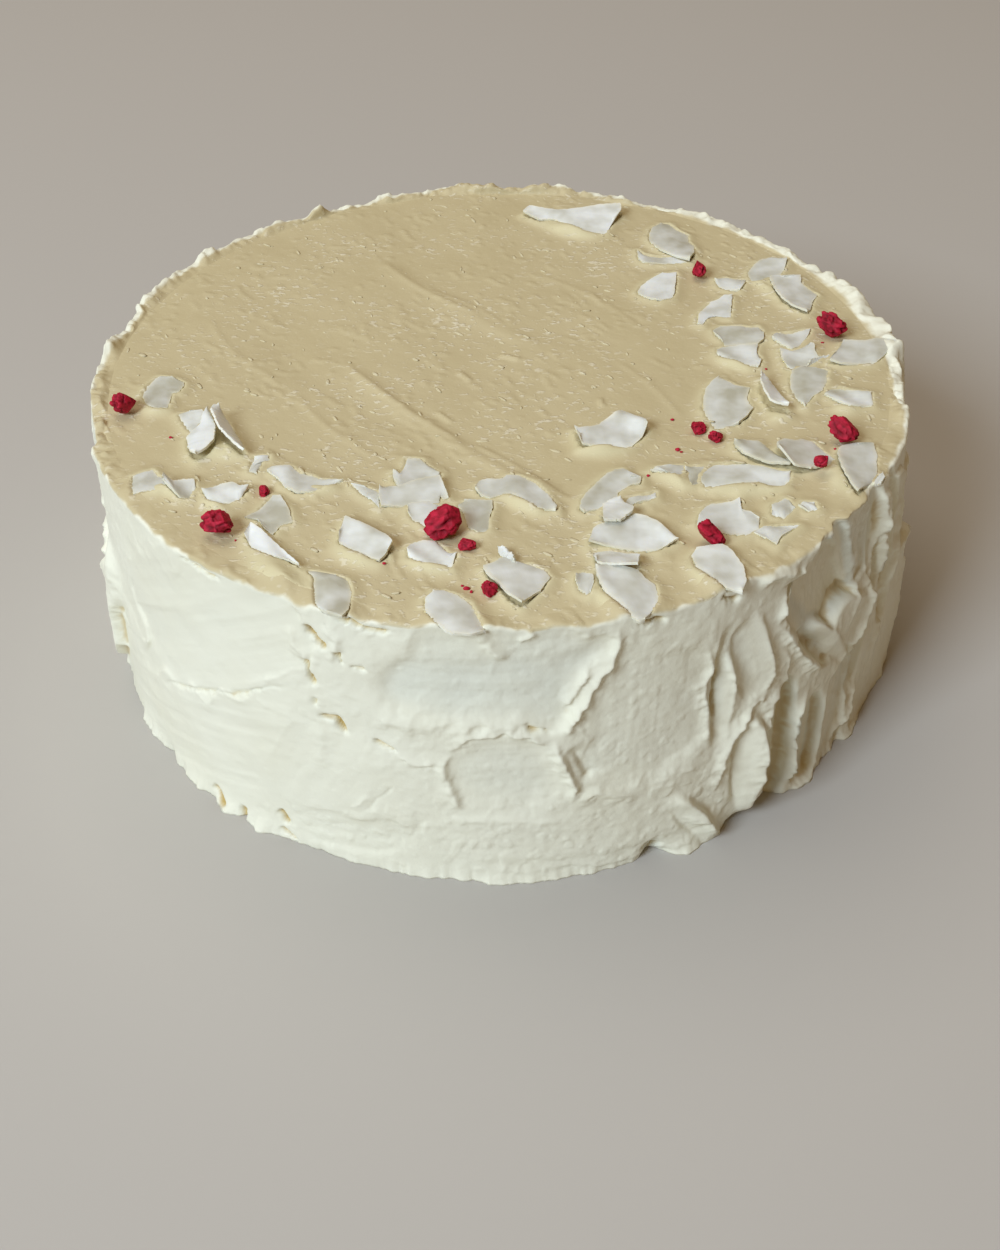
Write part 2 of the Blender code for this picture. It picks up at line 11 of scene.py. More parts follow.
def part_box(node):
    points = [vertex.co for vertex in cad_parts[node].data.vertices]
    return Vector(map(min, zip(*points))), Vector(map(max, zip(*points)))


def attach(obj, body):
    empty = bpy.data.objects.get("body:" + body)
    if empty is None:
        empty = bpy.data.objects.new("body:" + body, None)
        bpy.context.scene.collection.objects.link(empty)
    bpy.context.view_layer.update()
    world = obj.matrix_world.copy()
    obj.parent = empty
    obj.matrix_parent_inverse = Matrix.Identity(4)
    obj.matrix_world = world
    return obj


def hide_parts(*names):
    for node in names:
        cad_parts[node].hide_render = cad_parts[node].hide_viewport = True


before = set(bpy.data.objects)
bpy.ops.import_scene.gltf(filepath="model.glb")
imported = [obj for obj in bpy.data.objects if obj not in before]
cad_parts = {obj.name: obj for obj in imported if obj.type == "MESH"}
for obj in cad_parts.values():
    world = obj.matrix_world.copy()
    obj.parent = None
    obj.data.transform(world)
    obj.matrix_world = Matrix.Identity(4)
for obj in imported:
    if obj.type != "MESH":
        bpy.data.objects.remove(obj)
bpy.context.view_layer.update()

# Sizes of the cake, in metres
MM = 0.001
CAKE_HEIGHT = 0.0884
TOP_RADIUS = 0.120
FOOT_RADIUS = 0.1226
EDGE_ROUNDING = 0.0012
RIM_BAND = 0.010
LIP_WIDTH = 0.006
FOOT_BAND = 0.008

# Where the top runs under the lip, where the side's parts run under each other, and the wall inside them
LAP_RADIUS = 0.1146
LAP_WIDTH = 0.0018
LAP_DROP = 0.0006
PLUG_RADIUS = 0.1168
LIP_END = 0.1128
SEAM_LAP = math.radians(1.2)
SEAM_DROP = 0.0009
INNER_RADIUS = 0.100
INNER_GAP = 0.001
LIP_DEPTH = 0.006
TOP_DEPTH = 0.008

# Ridges of the knife strokes: the share of a listed ridge that shows, how far it spreads into its stroke
# and out of it, how much lower it is where it fades and away from the side that it is pushed to, and how it
# crumbles
RIDGE_SHARE = 0.62
RIDGE_INSIDE = 0.0006
RIDGE_OUTSIDE = 0.0020
RIDGE_FADE = 0.75
RIDGE_LEAST = 0.12
RIDGE_CRUMBLE = 0.25
GRAIN_CRUMBLE = 1.2
RIDGE_LEFT = (0.1, 2.0)
RIDGE_ROUGH = 0.2

# Edges of the strokes: how soft, how much softer where they fade or where the ridge is lower than a sharp
# one (mm), and how ragged and torn they are
EDGE_SOFTNESS = 0.00045
EDGE_FADE = 4.5
PRESSED_FADE = 10.0
SHARP_RIDGE_MM = 0.7
EDGE_RAGGED = 0.11
TORN_EDGE = 0.035
BLADE_BOUND = 1.2
STROKE_SHOWN = 0.02

# Grooves along a stroke: depth, distance, and how many times longer than wide
STREAK_DEPTH = 0.00009
STREAK_SIZE = 0.004
STREAK_STRETCH = 15

# Turns between which the strokes keep crisp edges, and how softly that begins and ends (degrees)
CRISP_FROM = 14
CRISP_TO = 82
CRISP_BLEND = 8

# Crests and cracks: how they fall off, how soon their ends fade, how they wander and how uneven and ragged
# they are, and the depth at which a crack begins to show its painted ochre shade and shows it in full
CREST_FALL = 1.4
CREST_ENDS = 4.0
CREST_WANDER = 0.0004
CREST_UNEVEN = 0.18
CREST_RAGGED = 0.00028
CREST_NARROWEST = 0.4
CRACK_SHOWN = 0.0005
CRACK_FULL = 0.0014

# Painted ochre shade in the side's dents: how far round a dent is judged, the depth where it starts and that
# of full shade, and its most shade. Thin frosting shows between two depths (mm) out of the plain side
DENT_REACH = 0.0029
DENT_DEPTH = 0.0008
DENT_START = 0.8
DENT_MOST = 0.6
THIN_FROM_MM = -0.4
THIN_RANGE_MM = 2.4
THIN_END_MM = -3.2
THIN_END_RANGE_MM = 0.8

# Roughness of the side, as feature size and height
SIDE_SWELL = (0.034, 0.0003)
SIDE_UNEVEN = (0.009, 0.00012)
TEAR_SIZE = 0.007
CRUMBLE_SIZE = 0.0034
WARP_SIZE = 0.016
FADE_SIZE = 0.017
PLAIN_GRAIN = 0.0002
GRAIN_SIZE = 0.0032
GRAIN_SHARE = 0.16
PIMPLE_SIZE = 0.0024
PIMPLE_SHARE = 0.5
FINE_SIZE = 0.0016
FINE_SHARE = 0.12

# Roughness of the foot and the rim, as feature size and height, and how much rougher the rim is behind
FOOT_SWELL = (0.009, 0.00045)
FOOT_UNEVEN = (0.004, 0.0005)
RIM_SWELL = (0.011, 0.00025)
RIM_UNEVEN = (0.0036, 0.00012)
RIM_ROUGHER = 0.0004
RIM_PIMPLE = (0.0022, 0.0005)
BEHIND_MIDDLE = -174
BEHIND_HALF = 118
BEHIND_BLEND = 14

# Relief of the top: its hollow, as radius and depth, its roughness, as feature size and height, and the share
# of a crease over which each of its ends fades
TOP_HOLLOW = (0.062, 0.0007)
TOP_SWELL = (0.046, 0.00022)
TOP_UNEVEN = (0.012, 0.00008)
DRAG_MARK = (0.007, 0.00006)
DRAG_STRETCH = (0.7, 0.35)
TOP_SPECK = (0.0017, 0.00022)
SPECK_PATCH = 0.014
CREASE_ENDS = 0.15
SKIN_SHADE_UNEVEN = (0.005, 0.0005)
SKIN_SHADE_REACH = 0.0003
SKIN_SHADE_BLEND = 0.0009

# How noise turns into shares. Faded edges: a level, and how much noise is added to it. Pimples and specks:
# the noise that they start at, and how softly they start. Patches of specks: the level that noise is added to
FADE_RAMP = (0.45, 0.8)
PIMPLE_RAMP = (0.55, 0.35)
RIM_PIMPLE_RAMP = (0.35, 0.4)
SPECK_RAMP = (0.62, 0.3)
SPECK_PATCH_LEVEL = 0.6

# Lumps on the top: how many, how far out, their heading (degrees) and its spread, their size in root of mm,
# and how long, wide and high they are for it
LUMP_COUNT = 560
LUMP_REACH = 0.113
LUMP_HEADING = (-48, 22)
LUMP_SIZE = (0.45, 1.0)
LUMP_LENGTH = (0.9, 2.2)
LUMP_WIDTH = 0.6
LUMP_HEIGHT = 0.32
LUMP_DENTS = 0.28
LUMP_SKIN_SHADE = 0.85

# Coconut chips: thickness, how far they are sunk, how ragged their edges are (mm), the share of the listed
# rise that shows, how they cup, twist and wave (mm), how fast they twist and wave, the least width that an
# edge is drawn across (mm), the band and strength of their paler edges, partly the frosting seen through and
# partly a painted glow, how far a turned-up edge reaches (mm), from which angle a corner is sharp, and the
# places and whiteness of flakes and slivers
CHIP_THICKNESS = 0.0007
CHIP_SUNK = 0.0007
CHIP_NOTCH_MM = 0.09
RISE_SHARE = 0.6
CHIP_CUP_MM = (-0.05, 0.45)
CHIP_TWIST_MM = 0.3
CHIP_WAVE_MM = 0.15
TWIST_RATE = 2.2
WAVE_RATE = 5.0
CHIP_NARROWEST_MM = 0.1
EDGE_GLOW_BAND = 0.22
EDGE_GLOW_SHARE = 0.45
TURNED_REACH_MM = 2.6
SHARP_CORNER = math.radians(42)
FLAKE_LIFT = 0.0007
SLIVER_DROP = 0.0016
FLAKE_WHITENESS = 0.5
SLIVER_WHITENESS = 0.7

# Frosting round the chips: the mounds' height as a share of the listed rise, their steepness, how high a
# chip pushes the frosting up, how far that reaches and what is left of it under the chip, and the height
# at which the painted light on that pushed-up frosting is full
MOUND_SHARE = 1.5
MOUND_STEEPNESS = 2.2
PUSHED_UP = 0.0009
PUSHED_REACH = 0.0024
PUSHED_MARGIN = 2.5
PUSHED_UNDER = 0.15
PAINTED_LIGHT_FULL = 0.0013

# Freeze-dried raspberries: cells of each piece's surface, how many flat broken faces it has, and the
# heading in which each of the large ones is drawn out (degrees up from the right, none where it is round),
# how much, and how far that way leans back
RASPBERRY_CELLS = (40, 60)
BROKEN_FACES = 8
RASPBERRY_LEANS = (None, None, 40, None, 142, 146, None, 140)
RASPBERRY_STRETCH = 1.5
LEAN_BACK = 0.4

# Drupelets of a raspberry: the half width (m) that brings one more, the fewest and the most, how uneven their
# places and sizes are, the width of the seams between them (radians), how far seams and folds stand out of
# the core, where the broken faces cut and how much of what is past them, how deep the small bits are sunk
# (mm), and how seams and folds keep the flesh colour out of the painted near-black shade of the clefts
DRUPELET = 0.00022
DRUPELET_COUNT = (10, 20)
DRUPELET_UNEVEN = 0.25
DRUPELET_SIZES = (0.8, 1.25)
SEAM_WIDTH = 0.25
FOLD_SIZE = 2.6
CORE_SHARE = 0.72
SEAM_SHARE = 0.12
FOLD_SHARE = 0.20
BROKEN_FROM = (0.55, 0.85)
BROKEN_DEPTH = 0.85
BIT_SUNK_MM = 0.6
SEAM_UNSHADED = 0.45
FOLD_UNSHADED = 0.55
FOLD_UNSHADED_RAMP = (0.1, 0.8)

# Raspberry crumbs: their three lengths as shares of the listed size, how far their middles stand over the
# frosting as a share of it, how deeply they are dented, and how far they are out of the painted cleft shade
CRUMB_FORM = (1.0, 0.8, 0.7)
CRUMB_LIFT = 0.2
CRUMB_DENTS = 0.25
CRUMB_UNSHADED = 0.9

# Dents of lumps and crumbs: how far the sine across a ball turns, and what the sum of three is divided by
DENT_WAVES = 3.1
DENT_EVEN = 1.7

# The fine meshes: the side's parts, each from one turn to another (degrees) with its columns and rows, rows
# of the rounded edge and of the lip, cells across the top, along and across a chip, and of the noise's grid
SIDE_PARTS = (("front_left", -84, 0, 400, 200), ("front_right", 0, 84, 400, 200), ("back", 84, 276, 620, 116))
EDGE_ROWS = 6
LIP_ROWS = 9
TOP_CELLS = 300
CHIP_CELLS = (40, 14)
CLOUD_CELLS = 48

# The camera, from the photo's circles: place, how far it looks down, its roll and its lens on a 36 mm
# sensor
CAMERA_PLACE = (-0.0004, -0.4009, 0.3335)
CAMERA_DOWN = math.radians(40.9)
CAMERA_ROLL = -0.0117
CAMERA_LENS = 44.87
SENSOR_WIDTH = 36.0

# The lights: what they face, the window's distance, turn and rise (degrees), the lights' size (m), power
# (W) and colour, the ceiling's place, the room's colour and strength, and the floor's half width and colour
LIT_POINT = (0.0, 0.0, 0.05)
WINDOW_DISTANCE = 2.8
WINDOW_TURN = math.radians(-40)
WINDOW_RISE = math.radians(38)
WINDOW = (1.0, 71.0, "DFEEFF")
CEILING_PLACE = (-0.45, 0.7, 2.2)
CEILING = (1.8, 20.0, "FFFBF4")
ROOM_COLOUR = "FFC878"
ROOM_STRENGTH = 0.17
FLOOR_HALF = 3.0
FLOOR_COLOUR = "BCB8B0"

# Knife strokes round the side, each wiped over the ones before it. Turn from the front (degrees, right is
# plus), height (mm), heading (degrees, 0 goes right, 90 up), length, width, level out of the plain side,
# lean of the stroke's left edge outwards, hollow, ridge (mm), the way the ridge is pushed (degrees), and
# grain (mm)
SEEN_STROKES = (
    (-51, 18, 18, 112, 56, 0.6, 0.0, 0.4, 0.7, 90, 0.05),
    (-77, 37, 84, 52, 42, 2.2, -2.2, 0.4, 1.2, 90, 0.20),
    (-76, 66, 88, 44, 30, -0.2, 0.6, 0.8, 2.2, 270, 0.25),
    (-25, 28, 62, 44, 26, 0.3, 0.0, 0.3, 0.9, -30, 0.10),
    (-42, 64.5, 30, 82, 40, 0.2, 0.0, 1.0, 0.9, -60, 0.04),
    (-20, 11, 8, 40, 14, -0.4, 0.0, 0.2, 0.6, 90, 0.35),
    (-15, 40, 10, 14, 12, 0.5, 0.0, 0.0, 0.5, 0, 0.20),
    (102, 70, 4, 66, 38, 1.7, 0.0, 0.4, 1.0, 90, 0.20),
    (67, 28, 90, 64, 44, 2.4, -3.2, 0.2, 0.8, 180, 0.30),
    (68, 67, -20, 52, 28, 2.0, -0.5, 0.4, 0.9, -90, 0.35),
    (58, 73, 104, 36, 9, -1.2, 0.5, 0.8, 1.2, 0, 0.35),
    (63.5, 62, 96, 62, 7, -0.6, 0.6, 0.6, 1.2, 180, 0.30),
    (58, 34, 82, 44, 9, -1.4, 0.6, 0.8, 1.2, 180, 0.30),
    (12, 17, 0, 92, 30, 0.5, 0.0, 0.2, 0.7, 90, 0.35),
    (0, 71, 2, 57, 35, -0.9, 0.2, 1.0, 0.48, 10, 0.20),
    (0.5, 39, 5, 27, 26, -0.6, 0.0, 0.7, 0.4, 10, 0.20),
    (18, 55, 86, 46, 39, -0.6, 0.2, 0.3, 0.5, 170, 0.25),
    (48, 74, 0, 42, 30, -1.8, 0.7, 0.2, 0.7, -90, 0.40),
    (50, 76, 112, 30, 6, -2.6, 0.4, 0.8, 0.9, 0, 0.40),
    (52, 17, 88, 42, 16, -0.8, 1.2, 0.3, 1.0, 0, 0.35),
    (28.5, 57, 88, 42, 7, -0.9, -1.3, 0.2, 0.8, 0, 0.05),
    (32.5, 63, 102, 30, 12, -0.2, -1.6, 0.6, 1.0, -20, 0.15),
    (46, 64, -58, 46, 25, -3.0, -2.2, 1.0, 0.7, 215, 0.30),
    (54, 50, -36, 26, 15, 0.9, 0.6, 0.0, 1.4, -20, 0.30),
    (48, 49, -50, 26, 6, 0.2, 1.2, 0.0, 0.9, 90, 0.05),
    (39.2, 24, 90, 44, 10, -3.4, 1.3, 0.6, 0.8, 180, 0.15),
    (33, 23, 92, 34, 10, 1.5, -2.6, 0.0, 0.7, 90, 0.05),
    (45.5, 16, 84, 34, 12, -2.2, 1.0, 0.6, 0.9, 0, 0.20),
    (25.5, 10, -56, 26, 7, 1.4, 1.8, 0.0, 0.7, 90, 0.10),
)

# The strokes of the back, drawn at random in two bands: turns (degrees), heights and grains (mm), headings,
# and the ranges that the places, lengths, widths, levels, leans, hollows, ridges and pushes are drawn from
BACK_START = 82
BACK_END = 276
BACK_STEP = 16
BACK_BANDS_MM = (22, 64)
BACK_GRAIN_MM = (0.05, 0.45, 0.15, 0.3)
BACK_HEADINGS = (20, -30, 70, 90)
BACK_TURNS = (-5, 5)
BACK_HEIGHTS = (-9, 9)
BACK_LENGTHS = (40, 66)
BACK_WIDTHS = (26, 42)
BACK_LEVELS = (-1.8, 0.8)
BACK_LEANS = (-0.6, 0.6)
BACK_HOLLOWS = (0.2, 1.2)
BACK_RIDGES = (0.9, 2.4)
BACK_PUSHES = (-120, 120)

# Torn crests and soft hollows of the side, and the cracks that show a painted ochre shade: rise (mm, minus
# goes in), how wide it falls off on the left and on the right of its way (mm), and the corners of its way
# (turn in degrees, height in mm)
CRESTS = (
    (1.9, 1.8, 1.1, ((6.4, 52), (8.4, 57), (10.6, 66), (12.9, 75), (13.7, 81), (14, 87))),
    (1.0, 1.3, 0.8, ((7.2, 60), (8.9, 67), (10.2, 72), (10.4, 76))),
    (0.9, 4.0, 2.6, ((-18, 57.5), (-12.4, 55.8), (-3.7, 57), (3.8, 57.2), (6.4, 52.5))),
    (0.9, 2.2, 1.0, ((-7.6, 46.5), (-4, 52.6), (0.6, 54), (3.8, 53.2), (6.6, 50))),
    (1.3, 2.2, 0.9, ((-5.3, 26), (-6.4, 35.3), (-7.2, 42.3), (-6.4, 47))),
    (1.6, 2.4, 0.7, ((8.1, 29), (9.2, 34.8), (8, 39.8), (6.9, 47), (6.4, 52))),
    (1.0, 1.6, 1.6, ((-2.8, 88), (-1.2, 82), (0.9, 78))),
    (0.9, 1.2, 1.2, ((1.6, 84), (3.9, 87.5))),
    (0.8, 1.0, 2.6, ((8.1, 29.5), (12, 31.7), (17.4, 25.6))),
    (0.8, 1.5, 0.9, ((-13.2, 43.4), (-9.7, 42.3), (-7.6, 43.6))),
    (0.5, 1.2, 2.4, ((-8, 22), (-2, 24), (4, 21.5), (9, 22.5))),
    (0.9, 1.6, 1.6, ((-26, 80), (-25.4, 74), (-23.4, 71))),
    (0.8, 1.4, 1.4, ((-21.6, 83.5), (-19.4, 80), (-20.8, 72))),
    (0.6, 2.6, 2.2, ((-23.8, 33), (-22.6, 50))),
    (1.8, 4.4, 0.7, ((36, 3), (35.6, 16), (35.4, 27), (36.2, 35), (36.6, 43.6), (39.4, 46), (38.8, 55),
     (36.8, 63))),
    (1.7, 1.6, 0.6, ((36.6, 69), (38.4, 77), (40.3, 82), (39.4, 86))),
    (1.5, 2.0, 0.7, ((47.6, 41.4), (43, 50.6), (39.8, 58), (38.1, 65), (36.3, 70))),
    (2.0, 1.8, 0.8, ((49.2, 29), (51, 36), (55, 39), (57.3, 46), (58, 56), (60, 68), (61.5, 84))),
    (0.7, 2.2, 1.3, ((51.4, 47), (53.8, 58), (54.4, 66), (54, 78))),
    (2.4, 0.9, 0.9, ((46.6, 0), (42.2, 6), (41.5, 17.4), (41.7, 27), (42.3, 32.7), (45, 38.4))),
    (1.5, 1.7, 0.8, ((28, 16), (29.5, 33), (31.3, 40), (33.5, 45), (36.6, 47))),
    (1.2, 1.5, 0.6, ((27, 37), (26.8, 47.9), (25.6, 59.8), (26.6, 64.2), (25.6, 74))),
    (1.1, 1.5, 1.5, ((31.2, 50), (29, 64.2), (28, 73))),
    (1.4, 1.0, 1.5, ((32.4, 87.4), (36, 86.6), (39.4, 85.2))),
    (1.5, 2.2, 2.2, ((23, 13.6), (27, 10), (29.6, 2))),
    (1.8, 2.6, 1.5, ((52, 4), (57, 10), (59, 21))),
    (1.4, 1.6, 0.9, ((64, 16), (65.5, 38), (67.4, 60), (68, 82))),
    (-1.3, 1.0, 3.6, ((11, 34), (9.4, 42), (8, 49))),
    (-1.8, 2.4, 2.0, ((40, 62), (43.9, 54), (49, 46))),
    (-1.6, 2.2, 1.6, ((38, 82), (38.6, 78))),
    (-2.2, 1.8, 1.8, ((18.6, 6.6), (21, 2.4))),
    (1.6, 1.6, 1.6, ((-84.5, 44), (-84, 52), (-85, 60))),
    (1.2, 1.4, 1.4, ((-82, 30), (-82.5, 36))),
)
CRACKS = (
    (-0.9, 0.5, 0.5, ((-54, 30), (-43.5, 40.3), (-37, 47.2), (-30.9, 55), (-26, 61))),
    (-2.6, 0.9, 1.0, ((-24, 82.6), (-22.6, 79.3), (-21.2, 76))),
    (-1.6, 0.6, 0.9, ((-23.6, 80.4), (-22, 80))),
    (-3.0, 0.8, 0.8, ((-24.6, 71.4), (-24.2, 66.5), (-23.4, 62))),
    (-1.2, 0.5, 0.5, ((-23.4, 58.5), (-23.8, 55.5))),
    (-2.2, 0.6, 0.7, ((-19.8, 77.4), (-19.1, 71.4))),
    (-1.2, 0.5, 0.5, ((-18.4, 72), (-16.4, 72.4))),
    (-1.8, 0.6, 0.5, ((-20, 87), (-17.6, 86.6), (-15.3, 85.4), (-12, 85))),
    (-2.0, 0.5, 0.7, ((-23.8, 52), (-20.9, 53), (-19.4, 47.6))),
    (-1.5, 0.5, 0.5, ((-16.2, 48.6), (-12.8, 45))),
    (-0.4, 0.5, 0.5, ((-18.4, 21), (-15.6, 27.2), (-13, 34))),
    (-2.2, 0.9, 1.1, ((-43, 5.4), (-39.6, 0))),
    (-1.8, 0.7, 0.7, ((-37, 5), (-36.7, -1))),
    (-1.9, 0.7, 0.8, ((-30.8, 10.5), (-29.2, 5.4))),
    (-1.9, 0.7, 0.8, ((-30.8, 3.6), (-28, 0))),
    (-1.2, 0.5, 0.5, ((-43.6, 86.6), (-39, 86), (-35.4, 85.8))),
    (-1.4, 0.5, 0.7, ((27.8, 44), (27.3, 56), (27.8, 64))),
    (-1.6, 0.6, 0.6, ((16, 86.4), (20, 85.6))),
    (-1.4, 0.6, 0.6, ((27, 86), (30, 84.6))),
    (-1.2, 0.5, 0.5, ((2.4, 57.6), (4.6, 54.6), (6.2, 53.6))),
)

# Lumps and bays in the foot, and peaks of the rim: turn, half width (degrees), reach (mm)
FOOT_LUMPS = (
    (-60, 3, 2.0), (-47, 4, 1.5), (-40, 2.0, 3.6), (-34, 1.6, 2.6), (0, 14, 1.8), (19.5, 2.2, -4.5),
    (26, 3.5, 2.2), (36, 4.5, -6.0), (45, 2.5, 3.0), (58, 4, 2.5),
)
RIM_PEAKS = (
    (-148, 1.6, 3.0), (-140, 6, 1.2), (-126, 2.2, 2.6), (-112, 7, 1.6), (-96, 2.5, 2.4), (-84, 3, 1.2),
    (-176, 5, 2.2), (-162, 4, 1.4), (171, 6, 1.6), (158, 4, 1.2), (146, 3, 1.4), (130, 6, 0.9),
    (93, 2.0, 2.4), (76, 3, 1.3), (66, 3, 0.8), (106, 12, 1.3),
)

# Where the side's whiter frosting laps over the rim, where the top's colour and its painted shade stop: turn,
# half width (degrees), reach inwards (mm)
SKIN_SHADE_BAYS = ((118, 46, 4.5), (-152, 20, 2.0), (-112, 24, 2.5))

# Creases on the top: tail x, y, head x, y, bow, height, width (mm)
TOP_CREASES = (
    (-46, 3, 20, -70, -4, 0.55, 2.6), (-42, 70, 16, 9, -3, 0.40, 3.4), (-70, 20, -20, -38, -6, -0.35, 7.0),
    (20, 60, 60, -10, 8, -0.30, 9.0),
)
FINE_CREASES = (
    (-46, 3, -8, -42, -2, 0.35, 0.9), (-8, -40, 18, -68, 1, 0.40, 0.8), (-38, 66, -4, 30, -3, 0.30, 1.0),
    (-24, 48, 4, 22, 2, 0.25, 0.9), (0, 7, 7, 4, 0, 0.8, 0.9), (-12, -2, -8, -8, 0, 0.7, 0.7),
    (29, -18, 30, -23, 0, 0.7, 0.6), (-18, -24, -13, -30, 0, 0.6, 0.6), (-60, -12, -30, -50, -3, 0.25, 1.2),
    (10, 58, 44, 20, 4, 0.22, 1.2), (-90, 30, -62, -8, -4, 0.22, 1.1), (34, 4, 52, -30, 2, 0.2, 1.0),
)

# Coconut chips, in the order of the solids: tail x, y, head x, y, rise of the ends (mm), roll (degrees)
CHIPS = (
    (-98, -22, -97, -4, 0.6, 0), (-86.5, -35, -87, -24, 0.4, 0), (-83.5, -48.5, -82.5, -27, 0.8, -14),
    (-71, -47, -79, -28, 0.6, 48), (-98.5, -58, -89, -61, 0.4, 0), (-90, -60, -81.5, -63, 0.7, 0),
    (-80.5, -64.5, -67, -63.5, 0.7, 12), (-62.5, -54, -42, -59.5, 0.8, 0), (-60, -80, -59, -65.5, 0.4, 0),
    (-66, -81, -47, -100, 0.6, 16), (-42, -114, -43, -98, 0.2, 0), (-41, -80, -28, -92, 0.8, 11),
    (-28, -55, -15, -54, 0.5, 0), (-32, -64, -14, -65.5, 0.6, 0), (-24, -74, -15.5, -75, 0.3, 0),
    (-6.5, -64, 15, -73, 0.9, 0), (-5.5, -81.5, -6, -68.5, 0.3, 0), (-24, -89.5, -11.5, -93.5, 0.6, 0),
    (5, -112, 4, -95, 0.2, 0), (-17, -107, -6, -120, 0.5, 0), (22, -39.5, 41.5, -36, 2.2, 8),
    (24, -72, 36, -57.5, 0.5, 0), (36, -116, 25, -100.5, 0.6, 0), (24, -94, 35, -96.5, 0.3, 0),
    (23.5, -87, 45, -88, 0.5, 9), (28, -82, 31, -69.5, 0.4, 0), (10, 98, 41, 91, 0.9, 8),
    (62, 63, 57, 87, 0.9, 0), (52, 38, 55, 55.5, 0.5, 0), (62.5, 24.5, 74, 39, 0.6, 0),
    (70, 50, 79.5, 46, 0.5, 0), (83, 49, 93.5, 62.5, 0.5, 0), (95.5, 28, 93.5, 51.5, 1.2, 8),
    (66.5, 4.5, 78.5, 1, 0.4, 0), (66.5, 13.5, 80.5, 15, 0.6, 0), (86.5, -3, 93, 5, 0.3, 0),
    (84.5, 13, 96, 14, 0.5, 0), (100, 0, 117, 4.5, 0.9, 6), (66, -34, 65, -10, 0.9, 0),
    (82.5, -30, 77.5, -11, 0.4, 38), (88, -25, 91, -5.5, 0.7, 0), (94.5, -19.5, 107.5, -22, 0.3, 0),
    (66, -44, 79, -51, 0.5, -7), (78, -50, 91.5, -50.5, 0.5, 0), (55, -59, 78.5, -58, 0.5, 0),
    (95.5, -67, 99, -46, 0.8, 12), (50.5, -62.5, 52.5, -53.5, 0.3, 0), (51.5, -78, 67, -78, 0.6, 0),
    (50, -91.5, 60, -107.5, 0.6, 5),
)

